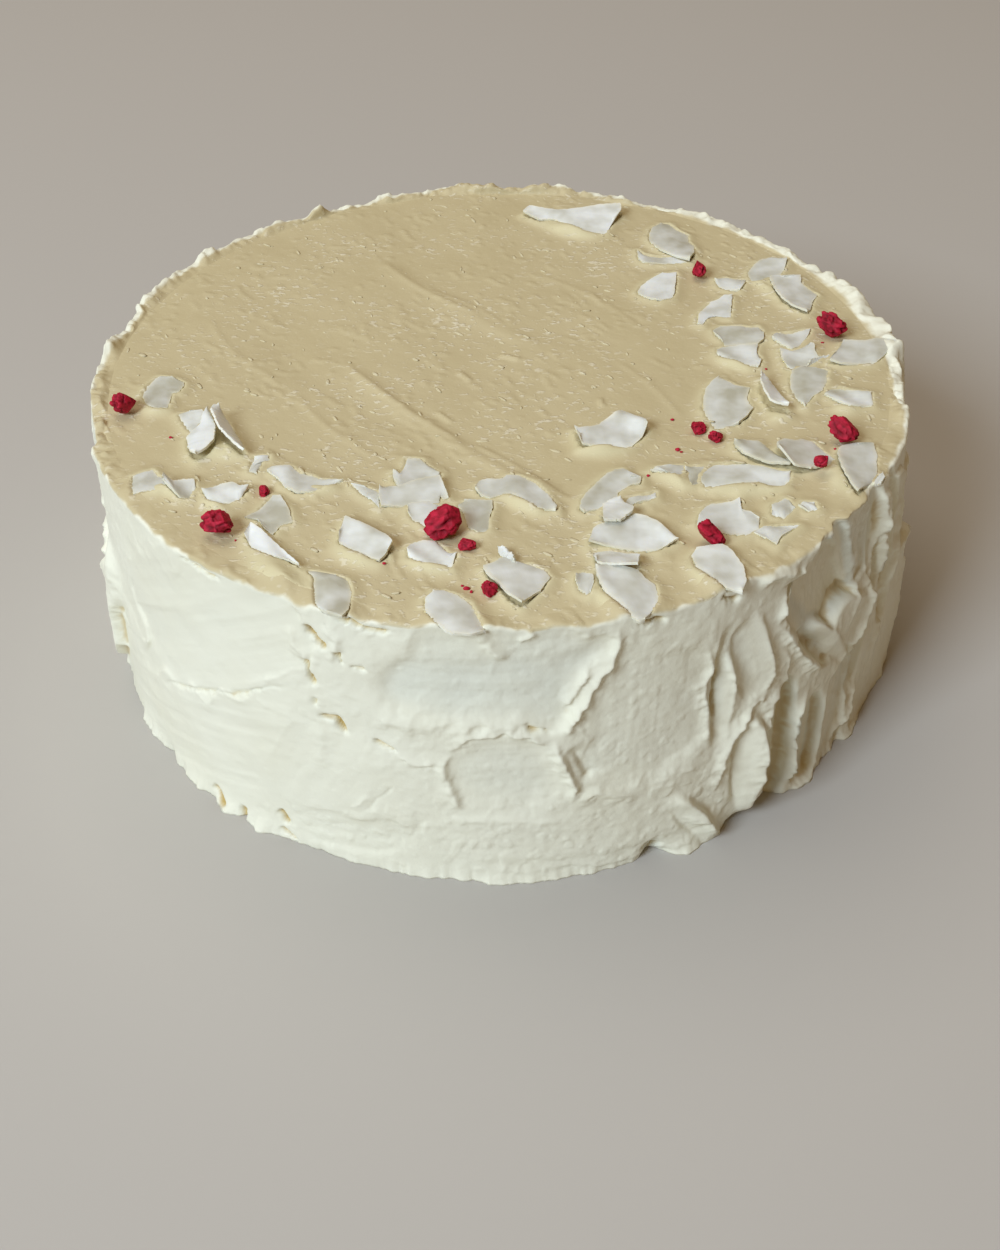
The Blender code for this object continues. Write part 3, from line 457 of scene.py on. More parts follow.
# The chips' outlines seen from above, corner by corner (mm), and how white each is, in the order of the
# chips
OUTLINES = (
    ((-100, -5), (-96, -6), (-92, -9), (-91.8, -10.5), (-92.8, -14), (-94.7, -14.5), (-94.7, -22.8),
     (-98.5, -23.2), (-101.5, -20), (-103.5, -15), (-102.5, -10)),
    ((-91.3, -26), (-88, -25), (-84.5, -24.3), (-83, -27), (-83.5, -34.5), (-86, -36), (-88, -33)),
    ((-82.6, -26), (-81, -30), (-79, -36), (-78.4, -43), (-80, -46.5), (-82.8, -49), (-85, -46.5),
     (-87, -39), (-85.5, -36), (-83.8, -34), (-83.6, -28)),
    ((-80.6, -30.5), (-80.2, -28), (-79, -27.6), (-75, -34), (-70.7, -42.5), (-69.8, -46.8), (-72.5, -45),
     (-77.5, -38.5)),
    ((-99, -56), (-96, -54), (-94, -53), (-92.5, -55.5), (-89.5, -57.8), (-89.3, -61), (-91.5, -62.8),
     (-95, -63.2), (-97.5, -64.3), (-98.8, -61)),
    ((-90, -58.5), (-87.3, -60.3), (-85, -59), (-82, -58.6), (-81.2, -62), (-82.3, -66.5), (-84.5, -66.6),
     (-87, -64), (-89.8, -61)),
    ((-79.4, -63.2), (-74, -61), (-71, -61), (-69.5, -62.2), (-66.9, -62.2), (-69, -66.5), (-71.5, -68.3),
     (-75, -69.3), (-77.5, -67)),
    ((-63, -54), (-61.5, -52.3), (-57, -51.4), (-54.5, -54.5), (-50.3, -56.5), (-48.5, -58.3), (-42, -59),
     (-45, -61.3), (-50, -64.3), (-54, -64.3), (-57.5, -61.5), (-59.3, -58)),
    ((-60.3, -65.3), (-58.3, -65.6), (-55.5, -71.5), (-53.9, -77), (-57, -78.3), (-58.6, -82.3),
     (-61, -79.8), (-63, -75.8), (-66.8, -74.8), (-63.5, -71.5)),
    ((-65.7, -83), (-64.5, -79), (-61.5, -81.5), (-57, -87), (-53.5, -91.8), (-50.5, -96), (-53.5, -94),
     (-58, -91.8), (-63.5, -87.5)),
    ((-48.5, -97.3), (-46.3, -97.5), (-41, -99.5), (-38, -101.3), (-36.8, -106), (-37, -113),
     (-38.5, -115.3), (-42, -113.8), (-45.5, -110), (-46.3, -104), (-46.6, -100)),
    ((-40.2, -77), (-37.5, -79), (-33, -82), (-29, -85.5), (-27.3, -88.5), (-28.6, -92), (-30.5, -94.5),
     (-34.5, -92), (-38, -89.5), (-41.2, -87), (-41.4, -83)),
    ((-25.3, -48.3), (-22, -48.6), (-19.7, -52), (-16.2, -55.5), (-15.8, -58.5), (-19, -60.5), (-24, -62),
     (-27, -63.3), (-28.8, -57.5), (-28.8, -54.6), (-26.5, -57)),
    ((-32, -63.8), (-27, -63.3), (-22, -60.8), (-16, -59), (-14.8, -63), (-13.6, -67.3), (-14.6, -68),
     (-16, -66.4), (-16.2, -69), (-20, -69.5), (-24.5, -70.5), (-31.2, -71), (-32, -68)),
    ((-24.2, -70), (-16, -68), (-15.9, -72), (-15.9, -74.2), (-17.5, -75.5), (-18.8, -79.3), (-20.5, -78.5),
     (-23, -76), (-24.2, -73)),
    ((-6.6, -63.5), (-5.5, -61), (-3.5, -59.8), (0.5, -59.7), (2, -57.6), (5.5, -57.7), (9.5, -61),
     (12.5, -66), (14.9, -72), (14.5, -73.8), (10, -72.5), (6.5, -70), (3.5, -66.2), (1, -66),
     (-2.5, -67.8), (-5, -66.5)),
    ((-11.3, -70.3), (-9.5, -68.6), (-2, -68.7), (-2, -72), (-2.8, -76), (-2.8, -81.3), (-5.5, -82.5),
     (-8.3, -80.5), (-9.3, -75)),
    ((-23.8, -89.5), (-23, -87.3), (-20, -85.8), (-16.8, -86), (-14.8, -88.3), (-12.7, -92), (-11.2, -91.2),
     (-12.3, -96.5), (-14.5, -95.8), (-17.3, -95.3), (-20, -94.8), (-23.3, -92)),
    ((-4.6, -97.5), (-1.5, -95.8), (0, -93.8), (3.5, -96), (7.5, -96.3), (10.8, -98.5), (12.3, -101.5),
     (9.5, -107), (5, -112), (1.5, -108.8), (-1, -103.5), (-3.3, -100.5)),
    ((-18.6, -108.5), (-16.8, -106.3), (-14, -105.8), (-10.5, -107.5), (-7.5, -111), (-5, -116.5),
     (-3.8, -120.8), (-7.5, -122.5), (-12.5, -121.5), (-16, -117.5), (-18.5, -113.5)),
    ((21, -35.8), (22.3, -37), (28, -35.3), (29, -33.3), (34.8, -28.5), (38.3, -32.3), (41, -34.3),
     (41.3, -37), (39.5, -40.8), (36.5, -44.3), (34.5, -45.2), (22.8, -44.8), (22, -41)),
    ((20.8, -72.5), (21.5, -68.5), (24.5, -63), (28.5, -57.8), (31, -55.6), (33.4, -55), (35, -59.2),
     (38, -59.3), (37.6, -62), (35, -62.3), (31.5, -65.5), (30.3, -69.5), (27, -72.3), (22, -74)),
    ((23.5, -98.5), (27, -97.5), (34, -99.3), (35.5, -102), (38, -104.5), (38.4, -109.5), (36.5, -114),
     (34.5, -117), (33, -117.8), (29, -112.5), (25.5, -108), (23.8, -103)),
    ((22.3, -88.5), (25.5, -88.5), (28.5, -90.3), (32, -93), (35, -94.3), (34.3, -97), (34, -99.6),
     (29, -98.8), (24, -97.3), (24, -92.5)),
    ((22.3, -88), (24, -82.5), (27.5, -80), (31, -79), (35, -76.5), (38, -77.8), (40.8, -81), (45.2, -87.6),
     (42.5, -89), (39.5, -90.8), (33, -90.5), (27, -88.8)),
    ((26.8, -72.3), (30, -70), (31.8, -70.2), (32.5, -73), (34.7, -75.5), (34.5, -77), (31, -81),
     (26.5, -81)),
    ((9.2, 96.6), (11.5, 99.3), (16, 97.6), (22, 96.8), (29, 97.8), (36, 98.8), (42.8, 98.3), (42.8, 94.5),
     (40, 90.5), (38.3, 86), (37, 82), (33, 81.8), (29, 83), (25.5, 86.5), (22.5, 89.5), (19.5, 92),
     (14.5, 92)),
    ((51.2, 80), (52.5, 85.5), (56, 89), (59, 88.8), (61, 84.5), (64.5, 80.5), (64, 76), (65.4, 72.5),
     (65, 66.5), (63, 61.5), (58.5, 64.5), (54.3, 69), (51, 75.5)),
    ((44.5, 43), (46.5, 47.3), (50, 51), (53.5, 54), (58.2, 54.8), (57.2, 48), (56.3, 41.5), (55.2, 38.2),
     (51.5, 36.6), (48.3, 37.6), (45.2, 40.5)),
    ((61.6, 22.3), (62.4, 27.5), (65, 32), (67, 35), (69.5, 36.3), (71.3, 38.4), (74.2, 38.5), (73, 31.5),
     (72, 25.5), (69.5, 27), (66, 26.8), (64.3, 24), (63, 21.2)),
    ((69.8, 49.8), (73.5, 50.2), (76.5, 49.3), (80, 49.6), (79.3, 46.5), (77, 42.2), (74.5, 42.5),
     (72.5, 43.3), (70.3, 46.3)),
    ((81.2, 54), (83.3, 57.8), (85.5, 60.8), (90, 62.8), (94.8, 61.8), (93.6, 57), (91, 51), (87.5, 49.8),
     (84, 47.3), (81.3, 47.8), (80.8, 51)),
    ((87.3, 49.3), (90, 49.6), (92, 48.5), (97.5, 50.2), (97, 45.5), (99.3, 41.5), (101.2, 38.7),
     (99, 34.3), (97.2, 28.3), (95.8, 26.3), (92, 30.2), (89.3, 34.8), (88, 40), (87.7, 44.5)),
    ((67.5, 8.2), (73, 8.8), (78.3, 8.2), (77.4, 5), (78.2, 0), (77, -3.8), (74, -3.4), (70.5, -1),
     (67.5, 1.3), (65.4, 4.5), (65.9, 7)),
    ((65.7, 18), (68, 20.3), (74.8, 20.6), (76.3, 19.9), (80, 19.8), (80.9, 15.5), (80.4, 11.3),
     (78.3, 8.8), (72, 9.3), (68.2, 8.6), (68.4, 11.5), (66.6, 14.5)),
    ((84.4, 6), (86, 4.5), (88, 5), (92.5, 6), (93.7, 7.3), (94.8, 7), (94.6, 3), (95.5, 0), (92.5, -3.3),
     (90.5, -4.8), (86.3, -5.5), (85.2, -3.5), (84.3, 1)),
    ((83, 12.3), (84.6, 15.3), (88, 15.2), (92, 16.2), (95.5, 17), (94.5, 14), (92.8, 11), (90.3, 7),
     (88, 5.6), (85.5, 8.3)),
    ((97.8, -2.6), (100, 0.8), (102.2, 4.5), (103.8, 8.6), (110.5, 8.4), (114, 10), (117.5, 9.8),
     (120.4, 7.8), (117.3, 4), (114.3, 0.3), (111.3, -2.8), (104.5, -3.8), (100.3, -3.7)),
    ((64.5, -9.6), (66.3, -11.3), (68.8, -13.9), (72.8, -15.2), (71.3, -20), (71.5, -23.5), (72.4, -26),
     (70, -30.5), (67.3, -33.7), (63, -35.2), (60.3, -35.6), (59.3, -31), (58.2, -26), (58.8, -20),
     (60, -15.5), (62, -12)),
    ((76.5, -10.8), (77.8, -13.5), (79.8, -18.5), (81.2, -24), (81.8, -29), (79.5, -28.2), (77, -26.8),
     (75.9, -22), (75.6, -16)),
    ((86.3, -6.8), (89, -4.8), (93, -5.7), (96.8, -6.6), (95.6, -12.5), (93.3, -17.7), (90.3, -20.5),
     (87.3, -25.4), (85.2, -21), (84.6, -15), (85.3, -10)),
    ((93.7, -19.5), (96.2, -16.2), (98.5, -15.7), (102, -17.5), (107.3, -18.8), (106.6, -25.4),
     (103, -25.8), (100, -26.3), (97.5, -24), (95.2, -21.3)),
    ((64.8, -43), (67, -42.2), (71.5, -42.8), (73, -45.3), (75, -48.5), (78, -53.3), (78.5, -56),
     (75.5, -55), (73, -54.3), (70, -52.3), (66.5, -48.8), (65, -45.5)),
    ((76, -46.5), (78.5, -44.2), (81.3, -44.5), (83.5, -43.2), (86.6, -43.6), (88.8, -48.8), (91.2, -52.5),
     (89, -55.3), (84, -57.4), (79, -57.9), (77.3, -54), (75.8, -50)),
    ((53.8, -61), (54.5, -56.5), (56.2, -53.7), (59, -52.8), (66, -53.2), (71, -54.6), (76, -57.2),
     (78.4, -57.5), (77.8, -60.8), (75.5, -64.2), (72.5, -64.6), (69.5, -62), (63, -62.5), (58, -63.7),
     (54.3, -63.2)),
    ((92.6, -48.3), (94, -46.8), (98.5, -46.8), (102.8, -45.3), (103, -50), (101.5, -58), (99.8, -62.3),
     (96.5, -65.8), (94.3, -68.3), (93.3, -64.5), (92, -57.5), (91.8, -53)),
    ((50.2, -54.3), (55, -54), (56, -53.5), (54, -58), (53, -62), (51.2, -62.8), (49.7, -59)),
    ((50.7, -80.5), (51.6, -76.3), (53.8, -72.5), (55.5, -71.1), (61, -70.4), (63.3, -68.7), (62.9, -74.1),
     (65.3, -75.2), (67.2, -78), (66.5, -82), (64, -84.2), (58, -84.3), (53, -82.5)),
    ((48, -93), (49.5, -90.8), (56, -90.3), (58.5, -93), (60.3, -98), (60.5, -104), (59, -108.2),
     (55.5, -106.5), (51.5, -102.5), (48.7, -97.5)),
)
WHITENESS = (
    0.2, 0.4, 1.0, 1.0, 0.35, 0.4, 0.5, 0.45, 0.2, 1.0, 0.25, 0.5, 0.4, 0.3, 0.6, 0.45, 0.1, 0.6, 0.6, 0.6,
    0.6, 0.35, 0.45, 0.8, 0.5, 0.7, 0.7, 0.35, 0.8, 0.8, 0.5, 0.4, 0.6, 0.4, 0.25, 0.5, 0.5, 0.4, 0.3, 1.0,
    0.3, 0.5, 0.3, 0.5, 0.4, 0.35, 0.3, 0.6, 0.45,
)

# Edges of chips that turn up towards the light: chip, the edge's two ends (x, y), rise (mm), and how wide
# it turns
TURNED_UP = (
    (2, -91.3, -26, -86.3, -35.7, 1.0), (6, -89.8, -60, -83, -67, 1.2), (7, -79.4, -63.2, -72, -68.5, 1.2),
    (12, -40, -77, -27.3, -88.5, 1.4), (13, -28.8, -55, -27, -63, 1.0), (18, -23.8, -90, -17.5, -95.5, 1.4),
    (21, 33, -30, 41, -36, 2.2), (23, 24, -103, 33, -117.5, 1.2), (34, 65.9, 4, 75, -3.8, 1.0),
    (36, 84.4, 6, 85.3, -4.5, 0.9), (37, 83, 12.3, 88, 5.6, 0.9), (38, 112, 1, 120, 8, 1.2),
    (42, 93.7, -19.5, 100, -26, 1.2), (43, 64.8, -43.5, 70, -52.5, 1.0), (46, 92, -54, 94, -68, 0.9),
    (49, 48.5, -97, 55.8, -106.7, 1.1), (25, 40.8, -81, 45.2, -87.6, 0.9),
)

# Mounds of frosting that the chips were pressed into: x, y, half length, half width (mm), heading
# (degrees), rise
MOUNDS = (
    (28, -46, 9, 3.5, 0, 1.1), (24, 85, 13, 4.5, -32, 1.4), (-56, -98, 13, 5.5, -46, 1.7),
    (6, -70, 9, 3.2, -36, 1.0), (65, -65, 12, 3.4, 0, 1.1), (-76, -45, 7, 5, -35, 1.0),
    (47, -60, 6, 3.5, -40, 0.9), (70, -2, 8, 3, -35, 0.8), (-18, -96, 8, 2.6, -20, 0.8),
    (-75, -69.5, 6, 2.2, -30, 0.7), (79, -31, 5, 3, 0, 0.7), (98, -27, 6, 3, -10, 0.7),
    (-37, -92.5, 8, 3, -32, 0.9), (90, -60, 4, 10, 0, 0.8), (85, 44, 3, 7, 10, 0.6),
    (26, -111, 9, 3, -56, 0.9), (51, -103, 8, 3, -52, 0.8), (-48, -62, 9, 3, -10, 0.7),
    (-90, -62, 9, 3, -15, 0.7), (-98, -24, 6, 3, -10, 0.5),
)

# Small flat flakes sunk in the frosting: tail x, y, head x, y (mm), and slivers that stand on a chip,
# written as the chips are
FLAKES = (
    (-67, -55, -66, -45), (-38, -62.5, -31, -70), (18.5, -101, 22.5, -107.5), (35.5, -67, 42, -69),
    (47, 69, 60, 63), (40.5, -56.5, 48, -55.5), (101, -59, 103, -63.5), (70.5, -75, 77, -73),
    (64.5, -85, 78, -83.5), (78.5, -73.5, 83.5, -71.5),
)
FLAKE_OUTLINES = (
    ((-67.3, -46.8), (-63.5, -46.3), (-63, -48.5), (-65, -49.2), (-65.6, -55), (-68, -54), (-67.8, -50)),
    ((-40, -60.3), (-36, -62), (-32.3, -63.9), (-31.6, -71.8), (-32.3, -68.7), (-36.3, -65.5)),
    ((18.6, -99.8), (20.5, -99), (22.8, -100.3), (23, -103), (22, -107), (21, -108.2), (19, -105.5),
     (18.4, -102.5)),
    ((33, -69.8), (34, -68.3), (38, -67), (41.3, -65.5), (41.3, -68.5), (38.5, -69.5), (35.3, -71),
     (33.8, -72.5)),
    ((46.6, 70.3), (48.5, 67.5), (54, 65.3), (58, 65), (62, 61.3), (55, 60.8), (47.8, 61.5), (46.3, 65)),
    ((40.7, -56), (42.5, -54.3), (46, -53.8), (50, -53.7), (49.3, -58.5), (50.6, -62.7), (49.6, -63),
     (48.3, -60), (47.3, -58.3), (44, -57.2)),
    ((102.8, -58.8), (103, -60.8), (101.5, -63.5), (99.5, -64), (100, -62), (101.3, -60.2)),
    ((71, -74.5), (71.3, -71.5), (73.3, -70.5), (75, -69), (76, -70), (77.3, -73.3), (75.5, -75.5),
     (73.8, -77.5), (72, -76.8), (70.7, -76)),
    ((65, -83.5), (68, -81.3), (72, -80.6), (77.3, -80.9), (74.3, -83.5), (71.6, -85.8), (70.3, -88.6),
     (68, -85.8)),
    ((78, -72.5), (79.5, -71), (82.5, -71.5), (83, -74.5), (80.5, -75)),
)
SLIVERS = ((-0.8, -90.2, 3.4, -95.6, 0.3, 50), (90.8, -4.8, 98.8, 2.1, 0.3, 50))
SLIVER_OUTLINES = (
    ((-0.8, -90.2), (1.1, -91.2), (2.8, -93.4), (3.4, -95.6), (1.5, -94.5), (-0.2, -92.4)),
    ((90.8, -4.8), (93.8, -3.3), (97, -0.6), (98.8, 2.1), (95.8, 0.7), (92.6, -2.1)),
)
SLIVER_ON = ("coconut_chip_19", "coconut_chip_36")

# Raspberry pieces sunk in the frosting: x, y, width, depth, height, and crumbs: x, y, size (mm)
RASPBERRY_BITS = (
    (-63, -63.5, 3.6, 3.6, 3.2), (-8.5, -88, 4.8, 4.2, 3.6), (-3, -106, 4.5, 4.5, 3.8),
    (55.5, -36, 5.2, 4.8, 3.8), (60, -40.5, 4.4, 4.4, 3.4),
)
RASPBERRY_CRUMBS = (
    (-91.7, -37, 1.1), (-8.5, -104, 1.6), (-9.6, -103, 0.8), (-7.4, -105.5, 1.0), (-4, -72.5, 0.9),
    (-29.3, -95, 0.9), (28.8, -66, 0.8), (40, -58, 1.0), (49, -30, 1.0), (49, -45.5, 1.4), (50, -46.5, 0.8),
    (79, -4.5, 0.8), (-20, -86, 0.8), (-68, -84, 0.7), (92, -47, 0.8), (56, -84, 0.7), (98, 10, 0.8),
)


def linear(code):
    """A colour written as sRGB hex, in linear light."""
    values = [int(code[i:i + 2], 16) / 255 for i in (0, 2, 4)]
    return tuple(v / 12.92 if v <= 0.04045 else ((v + 0.055) / 1.055) ** 2.4 for v in values) + (1.0,)


def smooth_step(value):
    """Rises softly from 0 to 1 as the value does: 3 v squared less 2 v cubed."""
    value = np.clip(value, 0.0, 1.0)
    return value * value * (3.0 - 2.0 * value)


def waves(points, wavelength, seed, count=9):
    """Seamless roughness near -1 to 1: the sum of sines of plane waves of about one length, in random
    directions."""
    rng = np.random.default_rng(seed)
    directions = rng.normal(size=(count, 3))
    directions /= np.linalg.norm(directions, axis=1, keepdims=True)
    lengths = wavelength * rng.uniform(0.7, 1.4, count)
    phases = rng.uniform(0.0, 2.0 * math.pi, count)
    steps = 2.0 * math.pi * directions / lengths[:, None]
    return np.sin(points @ steps.T + phases).sum(axis=-1) / math.sqrt(count)


def cloud(points, size, seed):
    """Uneven swells near -1 to 1: random values at the corners of a cubic grid of one spacing, turned at
    random, blended between the corners with 6 v to the fifth less 15 v to the fourth and 10 v cubed."""
    rng = np.random.default_rng(seed)
    turned = np.linalg.qr(rng.normal(size=(3, 3)))[0]
    corners = rng.uniform(-1.0, 1.0, (CLOUD_CELLS,) * 3)
    place = points @ turned / size
    cell = np.floor(place).astype(int)
    part = place - cell
    part = part ** 3 * (part * (part * 6.0 - 15.0) + 10.0)
    total = 0.0
    for corner in np.ndindex(2, 2, 2):
        weight = np.prod(np.where(corner, part, 1.0 - part), axis=-1)
        index = (cell + corner) % CLOUD_CELLS
        total = total + weight * corners[index[..., 0], index[..., 1], index[..., 2]]
    return 1.6 * total


def rough_cloud(points, size, seed, layers=3):
    """Clouds laid over each other, each half the size and half the strength of the one before."""
    shares = [0.5 ** layer for layer in range(layers)]
    return sum(share * cloud(points, size * share, seed + 1000 * layer) for layer, share in enumerate(shares))


def turned_away(turn, degrees):
    """Angle between a turn and a place given in degrees, the short way round."""
    return (turn - math.radians(degrees) + math.pi) % (2.0 * math.pi) - math.pi


def back_strokes():
    """The strokes of the back, two overlapping bands drawn at random, as on the solids, with a grain
    each."""
    rng = np.random.default_rng(31)
    strokes = []
    for turn in range(BACK_START, BACK_END, BACK_STEP):
        for band in BACK_BANDS_MM:
            strokes.append((
                turn + rng.uniform(*BACK_TURNS), band + rng.uniform(*BACK_HEIGHTS), rng.choice(BACK_HEADINGS),
                rng.uniform(*BACK_LENGTHS), rng.uniform(*BACK_WIDTHS), rng.uniform(*BACK_LEVELS),
                rng.uniform(*BACK_LEANS), rng.uniform(*BACK_HOLLOWS), rng.uniform(*BACK_RIDGES),
                rng.uniform(*BACK_PUSHES), BACK_GRAIN_MM[len(strokes) % len(BACK_GRAIN_MM)],
            ))
    return tuple(strokes)


def wipe(relief, rough, place, stroke, number):
    """One stroke over the relief. Inside its rounded patch, where the cubes of the shares along and aside
    add up to less than 1, the frosting takes the blade's level, with the fine grooves that the blade drags
    along it. Round it a ridge piles up, crumbled by the fine noise. In places the edge is softer and the
    ridge lower, and a stroke that was pressed flat and has hardly a ridge is soft all round."""
    turn, height, warp, torn, crumble, fade = place
    at_turn, at_height, heading, length, width, level, lean, hollow, ridge, toward, grain = stroke
    across = turned_away(turn, at_turn) * FOOT_RADIUS
    up = height - at_height * MM
    cosine = math.cos(math.radians(heading))
    sine = math.sin(math.radians(heading))
    along = (across * cosine + up * sine) / (length * MM / 2)
    aside = (up * cosine - across * sine) / (width * MM / 2)
    edge = np.cbrt(np.abs(along) ** 3 + np.abs(aside) ** 3) + EDGE_RAGGED * warp + TORN_EDGE * torn
    reach = (edge - 1.0) * width * MM / 2
    pressed = max(1.0 - ridge / SHARP_RIDGE_MM, 0.0)
    softness = EDGE_SOFTNESS * (1.0 + EDGE_FADE * fade + PRESSED_FADE * pressed)
    inside = 0.5 - 0.5 * np.tanh(reach / softness)
    bounded = np.clip(aside, -BLADE_BOUND, BLADE_BOUND)
    blade = (level + lean * bounded - hollow * (1.0 - bounded ** 2)) * MM
    near = inside > STROKE_SHOWN
    run = along[near] * length * MM / 2 / STREAK_STRETCH
    drawn = np.stack([aside[near] * width * MM / 2, run, np.full_like(run, number * MM)], axis=-1)
    blade[near] += STREAK_DEPTH * rough_cloud(drawn, STREAK_SIZE, 20 + number)
    push = np.clip(np.cos(np.arctan2(up, across) - math.radians(toward)), 0.0, 1.0)
    spread = np.where(reach < 0.0, RIDGE_INSIDE, RIDGE_OUTSIDE)
    broken = np.clip(1.0 + (RIDGE_CRUMBLE + GRAIN_CRUMBLE * grain) * crumble, *RIDGE_LEFT)
    pushed = RIDGE_LEAST + (1.0 - RIDGE_LEAST) * push
    pile = RIDGE_SHARE * ridge * MM * pushed * np.exp(-np.abs(reach) / spread) * broken
    pile = pile * (1.0 - RIDGE_FADE * fade)
    rough = rough * (1.0 - inside) + grain * MM * inside + RIDGE_ROUGH * pile
    return relief * (1.0 - inside) + blade * inside + pile, rough


def crests(turn, height, torn, crumble, ways):
    """Torn crests, and cracks as crests below nought. Each falls off from its bent way on either side, as e
    to the minus of the share of that side's width raised to a power, ends softly, wanders a little and is
    uneven in height and width."""
    total = np.zeros_like(turn)
    across = turned_away(turn, 0) * FOOT_RADIUS + CREST_WANDER * torn
    up = height + CREST_WANDER * crumble
    for rise, left, right, way in ways:
        corners = np.radians(way) * (FOOT_RADIUS, math.degrees(MM))
        margin = 3 * max(left, right) * MM
        low = corners.min(axis=0) - margin
        high = corners.max(axis=0) + margin
        near = (across > low[0]) & (across < high[0]) & (up > low[1]) & (up < high[1])
        x, y = across[near], up[near]
        nearest = np.full(x.shape, 1.0)
        hand = np.zeros_like(x)
        passed = np.zeros_like(x)
        whole = 0.0
        for corner, span in zip(corners, np.diff(corners, axis=0)):
            length = math.hypot(*span)
            share = np.clip(((x - corner[0]) * span[0] + (y - corner[1]) * span[1]) / length ** 2, 0.0, 1.0)
            off_x = x - corner[0] - share * span[0]
            off_y = y - corner[1] - share * span[1]
            closer = np.hypot(off_x, off_y) < nearest
            nearest = np.where(closer, np.hypot(off_x, off_y), nearest)
            hand = np.where(closer, span[0] * off_y - span[1] * off_x, hand)
            passed = np.where(closer, whole + share * length, passed)
            whole += length
        ends = smooth_step(CREST_ENDS * passed / whole) * smooth_step(CREST_ENDS * (1.0 - passed / whole))
        width = np.where(hand > 0.0, left, right) * MM
        width = np.maximum(width + CREST_RAGGED * crumble[near], CREST_NARROWEST * width)
        fall = (nearest / width) ** CREST_FALL
        total[near] += rise * MM * ends * np.exp(-fall) * (1.0 + CREST_UNEVEN * crumble[near])
    return total


def tears(turn, height):
    """Points of the plain side, with a coarser and a finer tear of the frosting there."""
    points = np.stack([FOOT_RADIUS * np.sin(turn), -FOOT_RADIUS * np.cos(turn), height], axis=-1)
    return points, rough_cloud(points, TEAR_SIZE, 6), rough_cloud(points, CRUMBLE_SIZE, 7)


def side_relief(turn, height):
    """How far the frosting stands out of the plain side: all strokes in turn, then crests, cracks and
    grains. The strokes on the right keep their edges crisp."""
    points, torn, crumble = tears(turn, height)
    relief = SIDE_SWELL[1] * waves(points, SIDE_SWELL[0], 1)
    rough = np.full_like(relief, PLAIN_GRAIN)
    degrees = np.degrees(turned_away(turn, 0))
    crisp = smooth_step((degrees - CRISP_FROM) / CRISP_BLEND)
    crisp = crisp * smooth_step((CRISP_TO - degrees) / CRISP_BLEND)
    fade = smooth_step(FADE_RAMP[0] + FADE_RAMP[1] * cloud(points, FADE_SIZE, 21)) * (1.0 - crisp)
    place = (turn, height, waves(points, WARP_SIZE, 2), torn, crumble, fade)
    for number, stroke in enumerate(back_strokes() + SEEN_STROKES):
        relief, rough = wipe(relief, rough, place, stroke, number)
    relief = relief + crests(turn, height, torn, crumble, CRESTS + CRACKS)
    pimples = smooth_step((cloud(points, PIMPLE_SIZE, 9) - PIMPLE_RAMP[0]) / PIMPLE_RAMP[1])
    relief = relief + rough * (GRAIN_SHARE * rough_cloud(points, GRAIN_SIZE, 8) + PIMPLE_SHARE * pimples)
    relief = relief + SIDE_UNEVEN[1] * rough_cloud(points, SIDE_UNEVEN[0], 17)
    return relief + FINE_SHARE * rough * rough_cloud(points, FINE_SIZE, 22)


def bumps(turn, places):
    """A row of smooth bumps round the cake, each a bell of its own half width."""
    total = np.zeros_like(turn)
    for at_turn, half_width, rise in places:
        total += rise * MM * np.exp(-(turned_away(turn, at_turn) / math.radians(half_width)) ** 2)
    return total


def crease(x, y, line):
    """A low ridge, or a groove, along a bowed line on the top: a bell across it that fades at both ends."""
    tail_x, tail_y, head_x, head_y, bow, height, width = (value * MM for value in line)
    length = math.hypot(head_x - tail_x, head_y - tail_y)
    cosine = (head_x - tail_x) / length
    sine = (head_y - tail_y) / length
    along = ((x - tail_x) * cosine + (y - tail_y) * sine) / length
    aside = (y - tail_y) * cosine - (x - tail_x) * sine - 4.0 * bow * along * (1.0 - along)
    ends = smooth_step(along / CREASE_ENDS) * smooth_step((1.0 - along) / CREASE_ENDS)
    return height * ends * np.exp(-(aside / width) ** 2)


def outside_by(x, y, outline):
    """Distance from places to an outline, and nought inside it: an even-odd count of the sides that a line
    to the east crosses, and the nearest point of each side."""
    corners = np.array(outline) * MM
    nearest = np.full(x.shape, 1.0)
    inside = np.zeros(x.shape, bool)
    for start, end in zip(corners, np.roll(corners, -1, axis=0)):
        span = end - start
        share = np.clip(((x - start[0]) * span[0] + (y - start[1]) * span[1]) / (span @ span), 0.0, 1.0)
        away = np.hypot(x - start[0] - share * span[0], y - start[1] - share * span[1])
        nearest = np.minimum(nearest, away)
        if span[1]:
            level = (start[1] > y) != (end[1] > y)
            inside ^= level & (x < start[0] + (y - start[1]) * span[0] / span[1])
    return np.where(inside, 0.0, nearest)


def pushed_up(x, y):
    """The frosting that pressed-in chips push up: highest along each chip's outline, lower under it, and
    falling off past it as a bell."""
    pushed = np.zeros_like(x)
    for outline in OUTLINES + FLAKE_OUTLINES:
        low = np.min(outline, axis=0) * MM - PUSHED_MARGIN * PUSHED_REACH
        high = np.max(outline, axis=0) * MM + PUSHED_MARGIN * PUSHED_REACH
        near = (x > low[0]) & (x < high[0]) & (y > low[1]) & (y < high[1])
        away = outside_by(x[near], y[near], outline)
        level = np.where(away > 0.0, np.exp(-(away / PUSHED_REACH) ** 2), PUSHED_UNDER)
        pushed[near] = np.maximum(pushed[near], level)
    return PUSHED_UP * pushed


